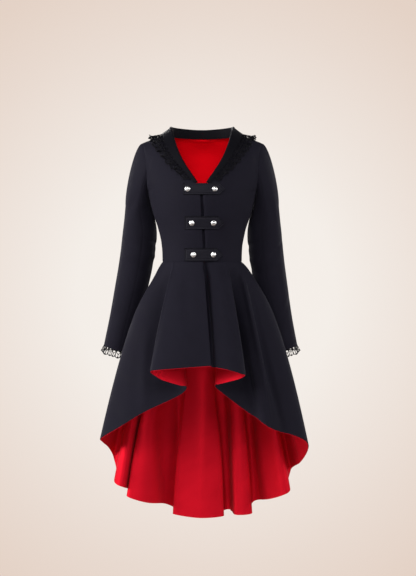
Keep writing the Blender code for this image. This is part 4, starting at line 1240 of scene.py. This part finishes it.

# The wall's painted glow by distance from its centre, as a share of its fade.
WALL_GLOW = {
    0.0: (0.922, 0.871, 0.823),
    0.136: (0.905, 0.855, 0.807),
    0.19: (0.871, 0.799, 0.745),
    0.285: (0.815, 0.708, 0.640),
    0.36: (0.776, 0.645, 0.565),
}
studio_look, tree, shader = new_look("studio_wall")
tree.nodes.remove(shader)
place = texture(tree, "TexCoord", "Object", {})
away = texture(tree, "VectorMath", "Value", {0: place, 1: WALL_CENTRE}, operation="DISTANCE")
share = texture(tree, "Math", "Value", {0: away, 1: WALL_FADE}, operation="DIVIDE")
ramp = tree.nodes.new("ShaderNodeValToRGB")
stops = ramp.color_ramp.elements
stops.remove(stops[1])
for position, colour in WALL_GLOW.items():
    stop = stops.new(position) if position else stops[0]
    stop.color = (*colour, 1.0)
fill(tree, ramp, {"Fac": share})
# The wall glows in its own colours and lights nothing in the scene: a painted backdrop light.
glow = texture(tree, "Emission", "Emission", {"Color": ramp.outputs["Color"]})
fill(tree, tree.nodes["Material Output"], {"Surface": glow})
ball = bmesh.new()
bmesh.ops.create_uvsphere(ball, u_segments=96, v_segments=48, radius=WALL_RADIUS)
bmesh.ops.reverse_faces(ball, faces=ball.faces[:])
wall = add_piece("studio_wall", ball, (studio_look,), rounded=False)
wall.visible_diffuse = False
wall.visible_glossy = False
wall.visible_shadow = False

studio_look, tree, shader = new_look("studio_floor")
fill(tree, shader, {"Base Color": (0.43, 0.37, 0.33, 1.0), "Roughness": 0.9})
disc = bmesh.new()
bmesh.ops.create_circle(disc, cap_ends=True, segments=96, radius=FLOOR_RADIUS,
                        matrix=Matrix.Translation((0.0, 0.0, FLOOR_Z)))
floor = add_piece("studio_floor", disc, (studio_look,), rounded=False)

# Columns: place, aim, width, height, power, colour.
MIDDLE = (0.0, 0.0, -0.45)
HIGH = (0.0, 0.0, -0.4)
LOW = (0.0, 0.0, -0.6)
WARM = (1.0, 0.98, 0.97)
COOL = (1.0, 0.98, 1.0)
LIGHTS = {
    "key": ((-3.4, -2.0, 0.7), MIDDLE, 1.8, 1.8, 90.0, WARM),
    "key_side": ((-3.9, -0.7, 0.2), MIDDLE, 1.8, 1.8, 156.0, WARM),
    "fill": ((2.9, -2.9, 0.2), MIDDLE, 1.8, 1.8, 30.0, WARM),
    "fill_side": ((3.9, -0.7, 0.2), MIDDLE, 1.8, 1.8, 80.0, WARM),
    "top": ((-0.2, -3.8, 1.5), MIDDLE, 1.4, 1.4, 86.0, WARM),
    "front": ((-0.2, -4.3, -0.6), MIDDLE, 1.2, 1.2, 31.0, WARM),
    "rim_left": ((-2.4, 2.2, 0.3), HIGH, 0.8, 2.0, 40.0, COOL),
    "rim_right": ((2.4, 2.2, 0.3), HIGH, 0.8, 2.0, 40.0, COOL),
    "back": ((-0.7, 3.4, 1.6), LOW, 1.0, 1.0, 55.0, WARM),
}
for name, (place, aim, wide, high, power, colour) in LIGHTS.items():
    lamp = bpy.data.lights.new(name, "AREA")
    lamp.shape = "RECTANGLE"
    lamp.size = wide
    lamp.size_y = high
    lamp.energy = power
    lamp.color = colour
    light = bpy.data.objects.new(name, lamp)
    light.location = place
    light.rotation_mode = "QUATERNION"
    light.rotation_quaternion = (Vector(aim) - Vector(place)).to_track_quat("-Z", "Y")
    bpy.context.scene.collection.objects.link(light)

world = bpy.data.worlds.new("studio_air")
world.use_nodes = True
fill(world.node_tree, world.node_tree.nodes["Background"],
     {"Color": (1.0, 0.95, 0.92, 1.0), "Strength": 0.02})
bpy.context.scene.world = world

lens = bpy.data.cameras.new("camera")
lens.lens = 97.0
lens.sensor_width = 36.0
camera = bpy.data.objects.new("camera", lens)
camera.location = (0.017, -4.5, -0.458)
camera.rotation_euler = (np.pi / 2, 0.0, 0.0)
bpy.context.scene.collection.objects.link(camera)
bpy.context.scene.camera = camera
bpy.context.scene.view_settings.view_transform = "Standard"
